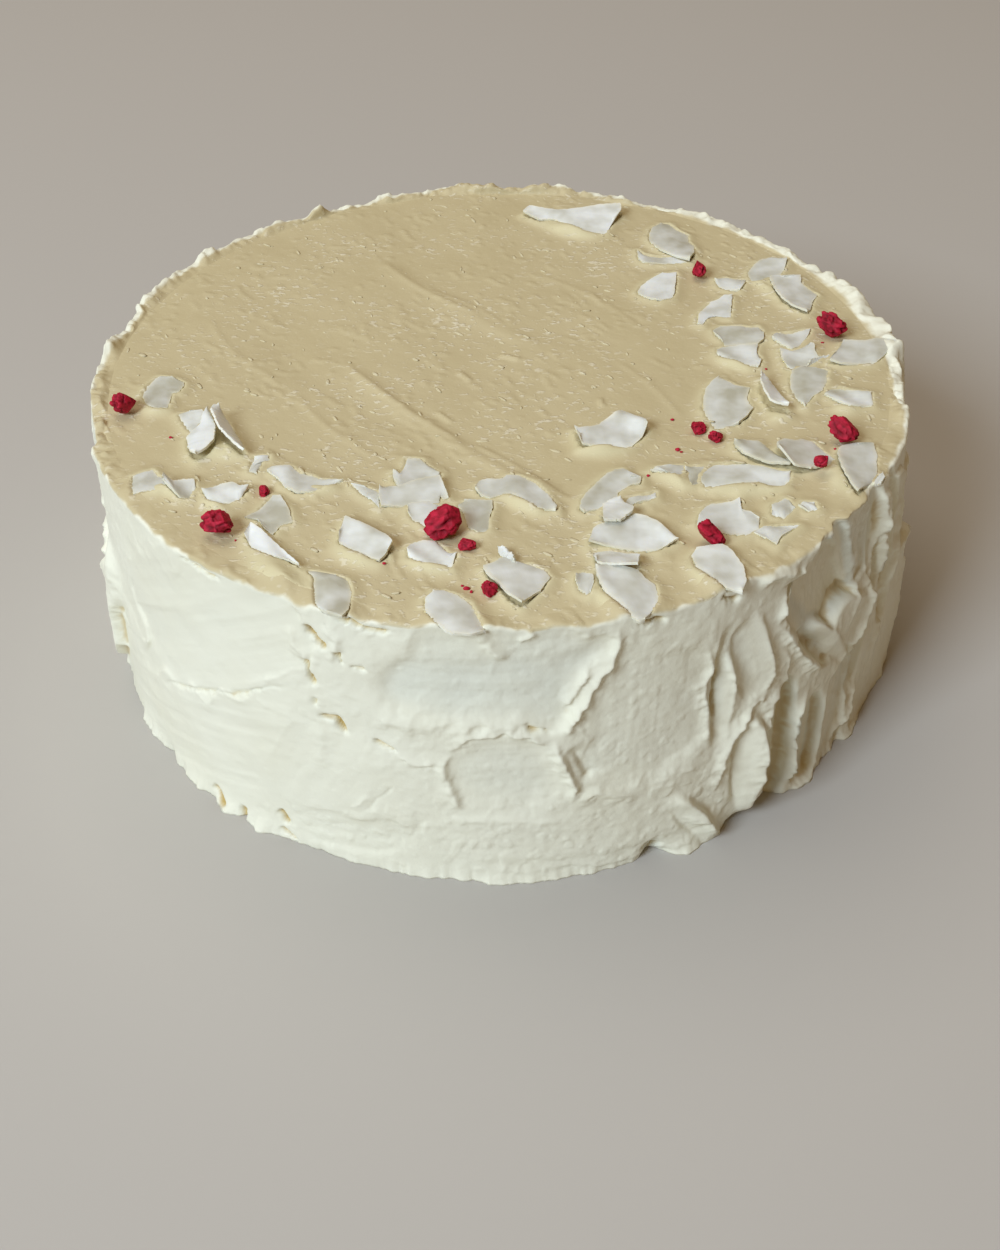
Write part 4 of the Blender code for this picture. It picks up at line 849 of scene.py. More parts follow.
def mounds(x, y):
    """Soft mounds beside the chips: the highest of some bells with an oval foot."""
    height = np.zeros_like(x)
    for east, north, half_length, half_width, heading, rise in MOUNDS:
        cosine = math.cos(math.radians(heading))
        sine = math.sin(math.radians(heading))
        across = x - east * MM
        up = y - north * MM
        along = (across * cosine + up * sine) / (half_length * MM)
        aside = (up * cosine - across * sine) / (half_width * MM)
        bell = np.exp(-MOUND_STEEPNESS * (along ** 2 + aside ** 2))
        height = np.maximum(height, MOUND_SHARE * rise * MM * bell)
    return height


def top_relief(x, y):
    """The top's relief: a shallow hollow, swells, creases, the knife's fine drag marks and pushed-up
    frosting."""
    points = np.stack([x, y, np.zeros_like(x)], axis=-1)
    relief = -TOP_HOLLOW[1] * np.exp(-(x * x + y * y) / TOP_HOLLOW[0] ** 2)
    relief = relief + TOP_SWELL[1] * waves(points, TOP_SWELL[0], 3)
    for line in TOP_CREASES + FINE_CREASES:
        relief = relief + crease(x, y, line)
    drag = np.stack([(x + y) * DRAG_STRETCH[0], (y - x) * DRAG_STRETCH[1], np.zeros_like(x)], axis=-1)
    relief = relief + DRAG_MARK[1] * rough_cloud(drag, DRAG_MARK[0], 11)
    relief = relief + TOP_UNEVEN[1] * cloud(points, TOP_UNEVEN[0], 12)
    specks = smooth_step((cloud(drag, TOP_SPECK[0], 13) - SPECK_RAMP[0]) / SPECK_RAMP[1])
    specks = specks * smooth_step(cloud(points, SPECK_PATCH, 14) + SPECK_PATCH_LEVEL)
    return relief + TOP_SPECK[1] * specks + pushed_up(x, y) + mounds(x, y)


def behind(turn):
    """1 on the far side of the cake and its left, where the rim is rough, and 0 at the front."""
    away = np.abs(turned_away(turn, BEHIND_MIDDLE))
    return smooth_step((math.radians(BEHIND_HALF) - away) / math.radians(BEHIND_BLEND))


def top_skin_and_shade(x, y, radius):
    """How far the top's yellower, darker colour reaches, partly the smoothed top's own skin and partly
    painted
    shade: 1 inside its uneven edge and 0 on the side.
    """
    turn = np.arctan2(x, -y)
    points = np.stack([x, y, np.zeros_like(x)], axis=-1)
    edge = TOP_RADIUS + SKIN_SHADE_REACH + SKIN_SHADE_UNEVEN[1] * rough_cloud(points, SKIN_SHADE_UNEVEN[0], 18)
    for at_turn, half_width, bay in SKIN_SHADE_BAYS:
        edge = edge - bay * MM * np.exp(-(turned_away(turn, at_turn) / math.radians(half_width)) ** 4)
    return smooth_step((edge - radius) / SKIN_SHADE_BLEND)


def frost(turn, radius, height):
    """Moves points of the plain turned cake to the frosted surface."""
    near_top = smooth_step((height - (CAKE_HEIGHT - RIM_BAND)) / RIM_BAND)
    outside = smooth_step((radius - (TOP_RADIUS - LIP_WIDTH)) / (0.6 * LIP_WIDTH))
    near_foot = np.clip(1.0 - height / FOOT_BAND, 0.0, 1.0) ** 2
    ring = np.stack([FOOT_RADIUS * np.sin(turn), -FOOT_RADIUS * np.cos(turn), np.zeros_like(turn)], axis=-1)
    foot = bumps(turn, FOOT_LUMPS) + FOOT_SWELL[1] * waves(ring, FOOT_SWELL[0], 4)
    foot = foot + FOOT_UNEVEN[1] * rough_cloud(ring, FOOT_UNEVEN[0], 15)
    rim = bumps(turn, RIM_PEAKS) + RIM_SWELL[1] * waves(ring, RIM_SWELL[0], 5)
    spot = np.stack([radius * np.sin(turn), -radius * np.cos(turn), height], axis=-1)
    uneven = RIM_UNEVEN[1] + RIM_ROUGHER * behind(turn)
    rim = rim + uneven * rough_cloud(spot, RIM_UNEVEN[0], 16)
    pimples = smooth_step((cloud(spot, RIM_PIMPLE[0], 19) - RIM_PIMPLE_RAMP[0]) / RIM_PIMPLE_RAMP[1])
    rim = rim + RIM_PIMPLE[1] * behind(turn) * pimples
    moved = radius + outside * side_relief(turn, height) + near_foot * foot
    x = moved * np.sin(turn)
    y = -moved * np.cos(turn)
    lifted = height + near_top * (outside * rim + top_relief(x, y))
    return np.stack([x, y, lifted], axis=-1)


def grid_faces(rows, columns, close_rows=False, close_columns=False):
    """Quads of a grid of points stored row by row, joined end to start where asked."""
    row = np.arange(rows if close_rows else rows - 1)[:, None]
    column = np.arange(columns if close_columns else columns - 1)[None, :]
    next_row = (row + 1) % rows
    next_column = (column + 1) % columns
    corners = [row * columns + column, row * columns + next_column,
               next_row * columns + next_column, next_row * columns + column]
    return np.stack(np.broadcast_arrays(*corners), axis=-1).reshape(-1, 4)


def add_piece(name, points, faces, material, attributes=()):
    """A mesh object from arrays: faces as one array of equal polygons or a list of arrays, smooth shaded,
    with float attributes per point, riding on the root body."""
    groups = [faces] if isinstance(faces, np.ndarray) else list(faces)
    corners = np.concatenate([group.ravel() for group in groups])
    sizes = np.concatenate([np.full(len(group), group.shape[1]) for group in groups])
    mesh = bpy.data.meshes.new(name)
    mesh.vertices.add(len(points))
    mesh.vertices.foreach_set("co", np.ascontiguousarray(points, dtype=np.float32).ravel())
    mesh.loops.add(len(corners))
    mesh.loops.foreach_set("vertex_index", corners.astype(np.int32))
    mesh.polygons.add(len(sizes))
    mesh.polygons.foreach_set("loop_start", np.concatenate([[0], np.cumsum(sizes)[:-1]]).astype(np.int32))
    mesh.update(calc_edges=True)
    mesh.validate()
    mesh.shade_smooth()
    for key, values in dict(attributes).items():
        kind = "FLOAT_VECTOR" if values.ndim == 2 else "FLOAT"
        field = mesh.attributes.new(key, kind, "POINT")
        field.data.foreach_set("vector" if values.ndim == 2 else "value", values.astype(np.float32).ravel())
    piece = bpy.data.objects.new(name, mesh)
    bpy.context.scene.collection.objects.link(piece)
    mesh.materials.append(material)
    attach(piece, "root")
    return piece


def add_node(tree, kind, settings=None, **inputs):
    """Adds a node, with its settings, and each input either linked from a socket or set to a value."""
    node = tree.nodes.new(kind)
    for key, value in (settings or {}).items():
        setattr(node, key, value)
    for key, value in inputs.items():
        by_number = key[0] == "i" and key[1:].isdigit()
        socket = node.inputs[int(key[1:]) if by_number else key.replace("_", " ")]
        if isinstance(value, bpy.types.NodeSocket):
            tree.links.new(value, socket)
        else:
            socket.default_value = value
    return node


def new_material(name):
    """A material with its Principled shader, and the object coordinates that its patterns read."""
    material = bpy.data.materials.new(name)
    material.use_nodes = True
    tree = material.node_tree
    shader = tree.nodes["Principled BSDF"]
    place = add_node(tree, "ShaderNodeTexCoord").outputs["Object"]
    return material, tree, shader, place


def mix_colours(tree, share, first, second):
    """A colour between two, each a socket or a colour, by a share."""
    node = add_node(tree, "ShaderNodeMix", {"data_type": "RGBA"}, i0=share, i6=first, i7=second)
    return node.outputs[2]


def attribute(tree, name):
    """A mesh attribute's value, or its vector."""
    node = add_node(tree, "ShaderNodeAttribute", {"attribute_name": name})
    return node.outputs["Vector" if name == "sheet" else "Fac"]


def noise(tree, place, millimetres, detail, **more):
    """Noise whose features have a real size."""
    scale = 1.0 / (millimetres * MM)
    node = add_node(tree, "ShaderNodeTexNoise", Vector=place, Scale=scale, Detail=detail, **more)
    return node.outputs["Fac"]


def ranged(tree, value, low, high, new_low=0.0, new_high=1.0):
    """A value taken from one range to another."""
    node = add_node(tree, "ShaderNodeMapRange", Value=value, i1=low, i2=high, i3=new_low, i4=new_high)
    return node.outputs["Result"]


def product(tree, first, second):
    """Two values multiplied."""
    return add_node(tree, "ShaderNodeMath", {"operation": "MULTIPLY"}, i0=first, i1=second).outputs[0]


def bumped(tree, height, strength, distance, **more):
    """A normal that takes a height's relief."""
    node = add_node(tree, "ShaderNodeBump", Height=height, Strength=strength, Distance=distance, **more)
    return node.outputs["Normal"]


def frosting_material():
    """Cream cheese frosting spread with a palette knife: satin, nearly white where it is thin and bright,
    yellower and darker on the smoothed top, partly its own tone and partly painted shade, with painted ochre
    shade in its dents and cracks and painted light where the chips push it up."""
    material, tree, shader, place = new_material("cream cheese frosting, spread with a palette knife")
    on_top = attribute(tree, "top_skin_and_shade")
    patches = noise(tree, place, 26, 3.0)
    side = mix_colours(tree, patches, linear("ECEAD2"), linear("F3F3E0"))
    side = mix_colours(tree, attribute(tree, "thin"), side, linear("E2E5D6"))
    # The top's yellower, darker colour: partly its own tone, partly painted shade of light grazing the top
    top = mix_colours(tree, patches, linear("C7B98F"), linear("CFC29B"))
    # Painted light: paler, yellower frosting where the chips push it up and on the mounds beside them
    top = mix_colours(tree, product(tree, attribute(tree, "painted_light_round_chips"), 0.6), top, linear("E2DBB2"))
    body = mix_colours(tree, on_top, side, top)
    # Painted ochre shade in the side's dents and cracks
    colour = mix_colours(tree, attribute(tree, "hollow"), body, linear("C4AA66"))
    gloss = ranged(tree, noise(tree, place, 4, 4.0), 0.3, 0.7, 0.38, 0.56)
    tree.links.new(gloss, shader.inputs["Roughness"])
    shader.inputs["IOR"].default_value = 1.45
    shader.inputs["Specular IOR Level"].default_value = 0.35
    drawn = add_node(tree, "ShaderNodeMapping", Vector=place, Rotation=(0.0, 0.0, math.radians(20)),
                     Scale=(0.6, 1.0, 1.0)).outputs["Vector"]
    clusters = ranged(tree, patches, 0.42, 0.6, 0.15)
    specks = product(tree, ranged(tree, noise(tree, drawn, 1.5, 2.0), 0.58, 0.68), clusters)
    specks = product(tree, specks, on_top)
    colour = mix_colours(tree, product(tree, specks, 0.75), colour, linear("E6DEC4"))
    tree.links.new(colour, shader.inputs["Base Color"])
    grain = bumped(tree, noise(tree, place, 1.3, 3.0, Roughness=0.6), 0.25, 0.25 * MM)
    raised = bumped(tree, specks, 0.5, 0.3 * MM, Normal=grain)
    tree.links.new(raised, shader.inputs["Normal"])
    return material


def coconut_material():
    """Dried coconut shavings, cut thin: white and waxy, duller where they are thin, with fine fibres along,
    and paler yellow at their thin edges, partly the frosting seen through them and partly a painted glow."""
    material, tree, shader, place = new_material("dried coconut shaving")
    stretched = add_node(tree, "ShaderNodeMapping", Vector=attribute(tree, "sheet"),
                         Scale=(60.0, 700.0, 60.0)).outputs["Vector"]
    fibres = noise(tree, stretched, 1000, 3.0)
    clouds = noise(tree, place, 7, 2.0)
    dull = mix_colours(tree, clouds, linear("B8B5A0"), linear("C6C5B4"))
    white = mix_colours(tree, fibres, linear("E8ECE8"), linear("F3F6F2"))
    uneven = ranged(tree, clouds, 0.3, 0.7, -0.35, 0.35)
    share = add_node(tree, "ShaderNodeMath", {"operation": "ADD", "use_clamp": True},
                     i0=attribute(tree, "white"), i1=uneven).outputs[0]
    middle = mix_colours(tree, share, dull, white)
    # Paler yellowish edges: partly the frosting seen through them, partly a painted glow
    colour = mix_colours(tree, attribute(tree, "edge"), middle, linear("F2EDCF"))
    tree.links.new(colour, shader.inputs["Base Color"])
    shader.inputs["Roughness"].default_value = 0.42
    shader.inputs["IOR"].default_value = 1.45
    shader.inputs["Subsurface Weight"].default_value = 0.25
    shader.inputs["Subsurface Radius"].default_value = (1.0, 0.9, 0.7)
    shader.inputs["Subsurface Scale"].default_value = 0.8 * MM
    tree.links.new(bumped(tree, fibres, 0.3, 0.12 * MM), shader.inputs["Normal"])
    return material


def raspberry_material():
    """Freeze-dried raspberry: crimson and dry, with painted near-black shade in its clefts and the flesh
    colour on what stands out.
    """
    material, tree, shader, place = new_material("freeze-dried raspberry")
    flesh = mix_colours(tree, noise(tree, place, 1.6, 4.0), linear("A60A24"), linear("D42A4A"))
    # Painted shade: near-black in the clefts, the flesh colour where seams and folds stand out
    colour = mix_colours(tree, attribute(tree, "swell"), linear("6E0212"), flesh)
    tree.links.new(colour, shader.inputs["Base Color"])
    shader.inputs["Roughness"].default_value = 0.62
    shader.inputs["Specular IOR Level"].default_value = 0.25
    grit = bumped(tree, noise(tree, place, 0.5, 3.0), 0.6, 0.3 * MM)
    tree.links.new(grit, shader.inputs["Normal"])
    return material


def blurred(field, reach):
    """A grid averaged over its neighbours up to a reach each way."""
    wide = np.pad(field, reach, mode="edge")
    shifts = range(2 * reach + 1)
    rows = sum(wide[shift:shift + field.shape[0]] for shift in shifts) / (2 * reach + 1)
    return sum(rows[:, shift:shift + field.shape[1]] for shift in shifts) / (2 * reach + 1)


def add_side(name, material, start, end, columns, rows):
    """A part of the frosted side between two turns, as a closed body: foot, side, rounded edge and lip
    outside, a plain wall inside, and flat ends that run a little under the next part. Columns run round the
    cake, rows up its profile."""
    turn = np.linspace(start - SEAM_LAP, end + SEAM_LAP, columns)
    past = np.clip(np.maximum(start - turn, turn - end) / SEAM_LAP, 0.0, None)
    shoulder = CAKE_HEIGHT - EDGE_ROUNDING
    share = np.linspace(0.0, 1.0, rows)
    corner = np.linspace(0.0, math.pi / 2, EDGE_ROWS)[1:]
    lip = np.linspace(TOP_RADIUS - EDGE_ROUNDING, LIP_END, LIP_ROWS)[1:]
    radius = np.concatenate([
        FOOT_RADIUS + (TOP_RADIUS - FOOT_RADIUS) * share,
        TOP_RADIUS - EDGE_ROUNDING * (1.0 - np.cos(corner)), lip])
    height = np.concatenate([
        shoulder * share, shoulder + EDGE_ROUNDING * np.sin(corner), np.full(len(lip), CAKE_HEIGHT)])
    shape = (len(radius), len(turn))
    turns = np.broadcast_to(turn, shape)
    heights = np.broadcast_to(height[:, None], shape)
    skin = frost(turns, np.broadcast_to(radius[:, None], shape), heights)
    out = np.hypot(skin[..., 0], skin[..., 1])
    even = blurred(out, round(DENT_REACH / (FOOT_RADIUS * (turn[1] - turn[0]))))
    # Painted ochre shade in dents deeper than their blurred surroundings, and in the listed cracks
    crevice_shade = np.clip((even - out) / DENT_DEPTH - DENT_START, 0.0, DENT_MOST)
    torn, crumble = tears(turns, heights)[1:]
    depth = -crests(turns, heights, torn, crumble, CRACKS)
    crevice_shade = np.maximum(crevice_shade, smooth_step((depth - CRACK_SHOWN) / CRACK_FULL))
    crevice_shade[height > CAKE_HEIGHT - 1 * MM] = 0.0
    depth = (even - radius[:, None]) / MM
    thin = smooth_step((THIN_FROM_MM - depth) / THIN_RANGE_MM)
    thin = thin * smooth_step((depth - THIN_END_MM) / THIN_END_RANGE_MM)
    thin[height > shoulder] = 0.0
    # Where the top's colour, partly its own tone and partly painted shade, reaches over the rounded edge
    covered = top_skin_and_shade(TOP_RADIUS * np.sin(turns), -TOP_RADIUS * np.cos(turns), radius[:, None])
    covered = covered * smooth_step((height - shoulder)[:, None] / (0.5 * EDGE_ROUNDING))
    skin[..., :2] *= (1.0 - SEAM_DROP * past ** 2 / out)[..., None]
    skin[..., 2] -= SEAM_DROP * past ** 2 * height[:, None] / CAKE_HEIGHT
    skin[..., 2] -= LAP_DROP * np.clip((LAP_RADIUS - radius) / LAP_WIDTH, 0.0, None)[:, None] ** 2
    wall = (INNER_RADIUS * np.sin(turn), -INNER_RADIUS * np.cos(turn))
    inner = np.stack([np.stack([*wall, np.full(len(turn), level)], axis=-1)
                      for level in (CAKE_HEIGHT - LIP_DEPTH, 0.0)])
    points = np.concatenate([skin, inner])
    inside = np.zeros((2, len(turn)))
    looks = {key: np.concatenate([field, inside]).ravel()
             for key, field in (("hollow", crevice_shade), ("thin", thin), ("top_skin_and_shade", covered))}
    first = np.arange(len(points)) * len(turn)
    faces = [grid_faces(len(points), len(turn), close_rows=True), first[None, :],
             (first + len(turn) - 1)[None, ::-1]]
    piece = add_piece(name, points.reshape(-1, 3), faces, material, looks)
    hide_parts("cake")


def add_top(material):
    """The smoothed top and the body under it: a disc as a square grid drawn into a circle, where x is u
    times the root of 1 less half of v squared, and y alike, with a skirt and a foot."""
    side = np.linspace(-1.0, 1.0, TOP_CELLS + 1)
    u, v = np.meshgrid(side, side)
    x = PLUG_RADIUS * u * np.sqrt(1.0 - v * v / 2.0)
    y = PLUG_RADIUS * v * np.sqrt(1.0 - u * u / 2.0)
    reach = np.hypot(x, y)
    z = CAKE_HEIGHT + top_relief(x, y)
    z = z - LAP_DROP * np.clip((reach - LAP_RADIUS) / LAP_WIDTH, 0.0, None) ** 2
    cap = np.stack([x, y, z], axis=-1).reshape(-1, 3)
    count = TOP_CELLS + 1
    index = np.arange(count * count).reshape(count, count)
    border = np.concatenate([index[0, :-1], index[:-1, -1], index[-1, :0:-1], index[:0:-1, 0]])
    edge = cap[border]
    share = (INNER_RADIUS + INNER_GAP) / np.hypot(edge[:, 0], edge[:, 1])
    rings = [np.stack([edge[:, 0] * share, edge[:, 1] * share, np.full(len(edge), level)], axis=-1)
             for level in (CAKE_HEIGHT - TOP_DEPTH, 0.0)]
    points = np.concatenate([cap] + rings + [[[0.0, 0.0, 0.0]]])
    first = count * count
    loops = [border, first + np.arange(len(border)), first + len(border) + np.arange(len(border))]
    walls = [np.stack([lower, np.roll(lower, -1), np.roll(upper, -1), upper], axis=-1)
             for upper, lower in zip(loops, loops[1:])]
    last = loops[-1]
    foot = np.stack([np.roll(last, -1), last, np.full(len(last), len(points) - 1)], axis=-1)
    faces = [grid_faces(count, count)] + walls + [foot]
    east, north = points[:, 0], points[:, 1]
    # The top's colour, partly its own tone and partly painted shade
    looks = {"top_skin_and_shade": top_skin_and_shade(east, north, np.hypot(east, north)),
             # Painted light on the frosting that chips push up and on the mounds beside them
             "painted_light_round_chips": smooth_step((pushed_up(east, north) + mounds(east, north)) / PAINTED_LIGHT_FULL)}
    piece = add_piece("frosting_top", points, faces, material, looks)
    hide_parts("cake")


def top_height(x, y):
    """Height of the frosted top at places on it."""
    return CAKE_HEIGHT + top_relief(x, y)


def ball_grid(rows, columns):
    """Directions on a closed ball: rows of latitude between two poles, and its faces."""
    tilt = np.linspace(0.0, math.pi, rows + 2)[1:-1, None]
    turn = np.linspace(0.0, 2.0 * math.pi, columns, endpoint=False)[None, :]
    axes = np.broadcast_arrays(np.sin(tilt) * np.cos(turn), np.sin(tilt) * np.sin(turn), np.cos(tilt))
    ring = np.stack(axes, axis=-1).reshape(-1, 3)
    points = np.concatenate([ring, [[0.0, 0.0, 1.0], [0.0, 0.0, -1.0]]])
    quads = grid_faces(rows, columns, close_columns=True)[:, ::-1]
    start = np.arange(columns)
    end = (rows - 1) * columns + start
    above = np.stack([start, np.roll(start, -1), np.full(columns, rows * columns)], axis=-1)
    below = np.stack([np.roll(end, -1), end, np.full(columns, rows * columns + 1)], axis=-1)
    return points, quads, np.concatenate([above, below])


def scattered(places, sizes, axes, dents, seed, rows=4, columns=8):
    """Many dented balls in one set of arrays: each ball's directions times its sizes along its own axes, at
    its place. Sizes are half lengths, and axes are three unit vectors a ball. A sine across each axis makes
    the dents."""
    unit, quads, caps = ball_grid(rows, columns)
    rng = np.random.default_rng(seed)
    phase = rng.uniform(0.0, 2.0 * math.pi, (len(places), 1, 3))
    sines = np.sin(DENT_WAVES * unit[None, :, :] + phase).sum(axis=-1, keepdims=True)
    swell = 1.0 + dents * sines / DENT_EVEN
    points = np.einsum("nmk,nkj->nmj", unit[None] * sizes[:, None, :] * swell, axes) + places[:, None, :]
    step = np.arange(len(places))[:, None, None] * len(unit)
    return points.reshape(-1, 3), [(quads[None] + step).reshape(-1, 4), (caps[None] + step).reshape(-1, 3)]


def axes_along(along, outward):
    """Three unit vectors for each ball: along, aside and outward, square to each other."""
    outward = outward / np.linalg.norm(outward, axis=1, keepdims=True)
    aside = np.cross(outward, along)
    aside /= np.linalg.norm(aside, axis=1, keepdims=True)
    return np.stack([np.cross(aside, outward), aside, outward], axis=1)


def add_top_lumps(material):
    """Small lumps that the knife left on the top, drawn out the way it went."""
    rng = np.random.default_rng(41)
    reach = LUMP_REACH * np.sqrt(rng.uniform(0.0, 1.0, LUMP_COUNT))
    turn = rng.uniform(0.0, 2.0 * math.pi, LUMP_COUNT)
    x = reach * np.cos(turn)
    y = reach * np.sin(turn)
    heading = np.radians(LUMP_HEADING[0] + rng.normal(0.0, LUMP_HEADING[1], LUMP_COUNT))
    size = rng.uniform(*LUMP_SIZE, LUMP_COUNT) ** 2
    length = size * rng.uniform(*LUMP_LENGTH, LUMP_COUNT)
    sizes = np.stack([length, size * LUMP_WIDTH, size * LUMP_HEIGHT], axis=-1) * MM
    along = np.stack([np.cos(heading), np.sin(heading), np.zeros(LUMP_COUNT)], axis=-1)
    axes = axes_along(along, np.tile([0.0, 0.0, 1.0], (LUMP_COUNT, 1)))
    places = np.stack([x, y, top_height(x, y)], axis=-1)
    points, faces = scattered(places, sizes, axes, LUMP_DENTS, 42)
    # Lumps take most of the top's colour, its own tone and its painted shade
    looks = {"top_skin_and_shade": np.full(len(points), LUMP_SKIN_SHADE)}
    add_piece("frosting_lumps", points, faces, material, looks)


def thick_sheet(top, thickness):
    """A closed sheet from its upper face: the lower face is set back squarely, and the edges are joined."""
    rows, columns = top.shape[:2]
    normal = np.cross(np.gradient(top, axis=0), np.gradient(top, axis=1)).sum(axis=(0, 1))
    normal *= np.sign(normal[2]) / np.linalg.norm(normal)
    points = np.concatenate([top.reshape(-1, 3), (top - normal * thickness).reshape(-1, 3)])
    upper = grid_faces(rows, columns)
    index = np.arange(rows * columns).reshape(rows, columns)
    border = np.concatenate([index[0, :-1], index[:-1, -1], index[-1, :0:-1], index[:0:-1, 0]])
    after = np.roll(border, -1)
    rim = np.stack([after, border, border + rows * columns, after + rows * columns], axis=-1)
    return points, np.concatenate([upper, upper[:, ::-1] + rows * columns, rim])


def run_along(corners, stations):
    """Points at even shares of the way along a broken line."""
    steps = np.concatenate([[0.0], np.cumsum(np.linalg.norm(np.diff(corners, axis=0), axis=1))])
    return np.stack([np.interp(stations * steps[-1], steps, corners[:, axis]) for axis in (0, 1)], axis=-1)


def outlined_sheet(chip, outline, seed):
    """A chip's sheet inside its outline. The outline is cut in two at the tail and the head, and each row
    of the sheet runs straight across from one side to the other. Its height rises with the square of the
    way to the ends and waves a little, and a rolled chip slopes from side to side."""
    corners = np.array(outline)
    tail = np.argmin(np.hypot(*(corners - chip[:2]).T))
    corners = np.roll(corners, -tail, axis=0)
    head = np.argmin(np.hypot(*(corners - chip[2:4]).T))
    stations = np.linspace(0.0, 1.0, CHIP_CELLS[0])
    one = run_along(corners[:head + 1], stations)
    other = run_along(np.concatenate([corners[:1], corners[:head - 1:-1]]), stations)
    if np.cross(chip[2:4] - np.array(chip[:2]), one.mean(axis=0) - other.mean(axis=0)) < 0.0:
        one, other = other, one
    rng = np.random.default_rng(seed)
    across = one - other
    across = across / np.maximum(np.linalg.norm(across, axis=1, keepdims=True), CHIP_NARROWEST_MM)
    notch = CHIP_NOTCH_MM * rng.normal(size=(2, CHIP_CELLS[0], 1))
    one = one + notch[0] * across
    other = other + notch[1] * across
    share = np.linspace(0.0, 1.0, CHIP_CELLS[1])[None, :, None]
    flat = other[:, None] * (1.0 - share) + one[:, None] * share
    along = 2.0 * stations[:, None] - 1.0
    aside = 2.0 * share[..., 0] - 1.0
    half = np.linalg.norm(one - other, axis=1)[:, None] / 2
    phase = rng.uniform(0.0, 2.0 * math.pi)
    cup = rng.uniform(*CHIP_CUP_MM)
    wave = CHIP_TWIST_MM * np.sin(phase + TWIST_RATE * along) * aside
    wave = wave + CHIP_WAVE_MM * np.sin(2.0 * phase + WAVE_RATE * along + 2.0 * aside)
    slope = half * aside * math.tan(math.radians(chip[5]))
    z = RISE_SHARE * chip[4] * along ** 2 - cup * aside ** 2 + wave + slope
    for number, east, north, east_end, north_end, rise in TURNED_UP:
        if number == seed:
            span = np.array([east_end - east, north_end - north])
            share = np.clip((flat - (east, north)) @ span / (span @ span), 0.0, 1.0)
            away = np.linalg.norm(flat - (east, north) - share[..., None] * span, axis=-1)
            z = z + RISE_SHARE * rise * np.exp(-(away / TURNED_REACH_MM) ** 2)
    sheet = np.concatenate([flat, z[..., None]], axis=-1) * MM
    length = math.hypot(chip[2] - chip[0], chip[3] - chip[1])
    across = half * aside * MM
    lines = np.stack([along * length / 2 * MM + 0.0 * aside, across, np.full_like(z, seed)], axis=-1)
    # Share of the paler edge colour: partly the frosting seen through, partly a painted glow
    to_edge = 1.0 - np.maximum(np.abs(along), np.abs(aside))
    edge = EDGE_GLOW_SHARE * smooth_step(1.0 - to_edge / EDGE_GLOW_BAND)
    return sheet, lines, edge


def laid_on_solid(sheet, node):
    """The sheet on the plane, fitted by least squares, that brings it onto the upper face of its solid."""
    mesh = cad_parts[node].data
    corners = [vertex.co for vertex in mesh.vertices]
    tree = BVHTree.FromPolygons(corners, [tuple(face.vertices) for face in mesh.polygons])
    places = sheet[2:-2:4, 2:-2:3].reshape(-1, 3)
    down = Vector((0.0, 0.0, -1.0))
    above = [tree.ray_cast(Vector((x, y, 2 * CAKE_HEIGHT)), down)[0] for x, y in places[:, :2]]
    found = np.array([hit is not None for hit in above])
    lift = np.array([hit.z for hit in above if hit is not None]) - places[found, 2]
    middle = sheet[..., :2].mean(axis=(0, 1))
    terms = np.column_stack([np.ones(found.sum()), places[found, :2] - middle])
    plane = np.linalg.lstsq(terms, lift, rcond=None)[0]
    raised = sheet.copy()
    raised[..., 2] += plane[0] + (sheet[..., :2] - middle) @ plane[1:] - CHIP_SUNK
    return raised


def add_chip(name, sheet, lines, edge, material, white):
    """One coconut chip as a closed sheet with sharp cut edges."""
    points, faces = thick_sheet(sheet, CHIP_THICKNESS)
    looks = {"sheet": np.tile(lines.reshape(-1, 3), (2, 1)), "edge": np.tile(edge.ravel(), 2),
             "white": np.full(len(points), white)}
    piece = add_piece(name, points, faces, material, looks)
    piece.data.set_sharp_from_angle(angle=SHARP_CORNER)
    return piece


def add_chips(material):
    """Every coconut chip, each laid on its own solid, and the small flakes and slivers between them."""
    for number, (chip, outline, white) in enumerate(zip(CHIPS, OUTLINES, WHITENESS)):
        node = f"coconut_chip_{number + 1:02d}"
        sheet, lines, edge = outlined_sheet(chip, outline, number + 1)
        piece = add_chip(f"{node}_shaving", laid_on_solid(sheet, node), lines, edge, material, white)
        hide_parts(node)
    for number, (chip, outline) in enumerate(zip(FLAKES, FLAKE_OUTLINES)):
        sheet, lines, edge = outlined_sheet(chip + (0, 0), outline, 500 + number)
        sheet[..., 2] += top_height(sheet[..., 0], sheet[..., 1]).mean() + FLAKE_LIFT
        add_chip(f"coconut_flake_{number + 1:02d}", sheet, lines, edge, material, FLAKE_WHITENESS)
    for number, (chip, outline, node) in enumerate(zip(SLIVERS, SLIVER_OUTLINES, SLIVER_ON)):
        sheet, lines, edge = outlined_sheet(chip, outline, 600 + number)
        sheet[..., 2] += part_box(node)[1][2] - SLIVER_DROP
        add_chip(f"coconut_sliver_{number + 1:02d}", sheet, lines, edge, material, SLIVER_WHITENESS)


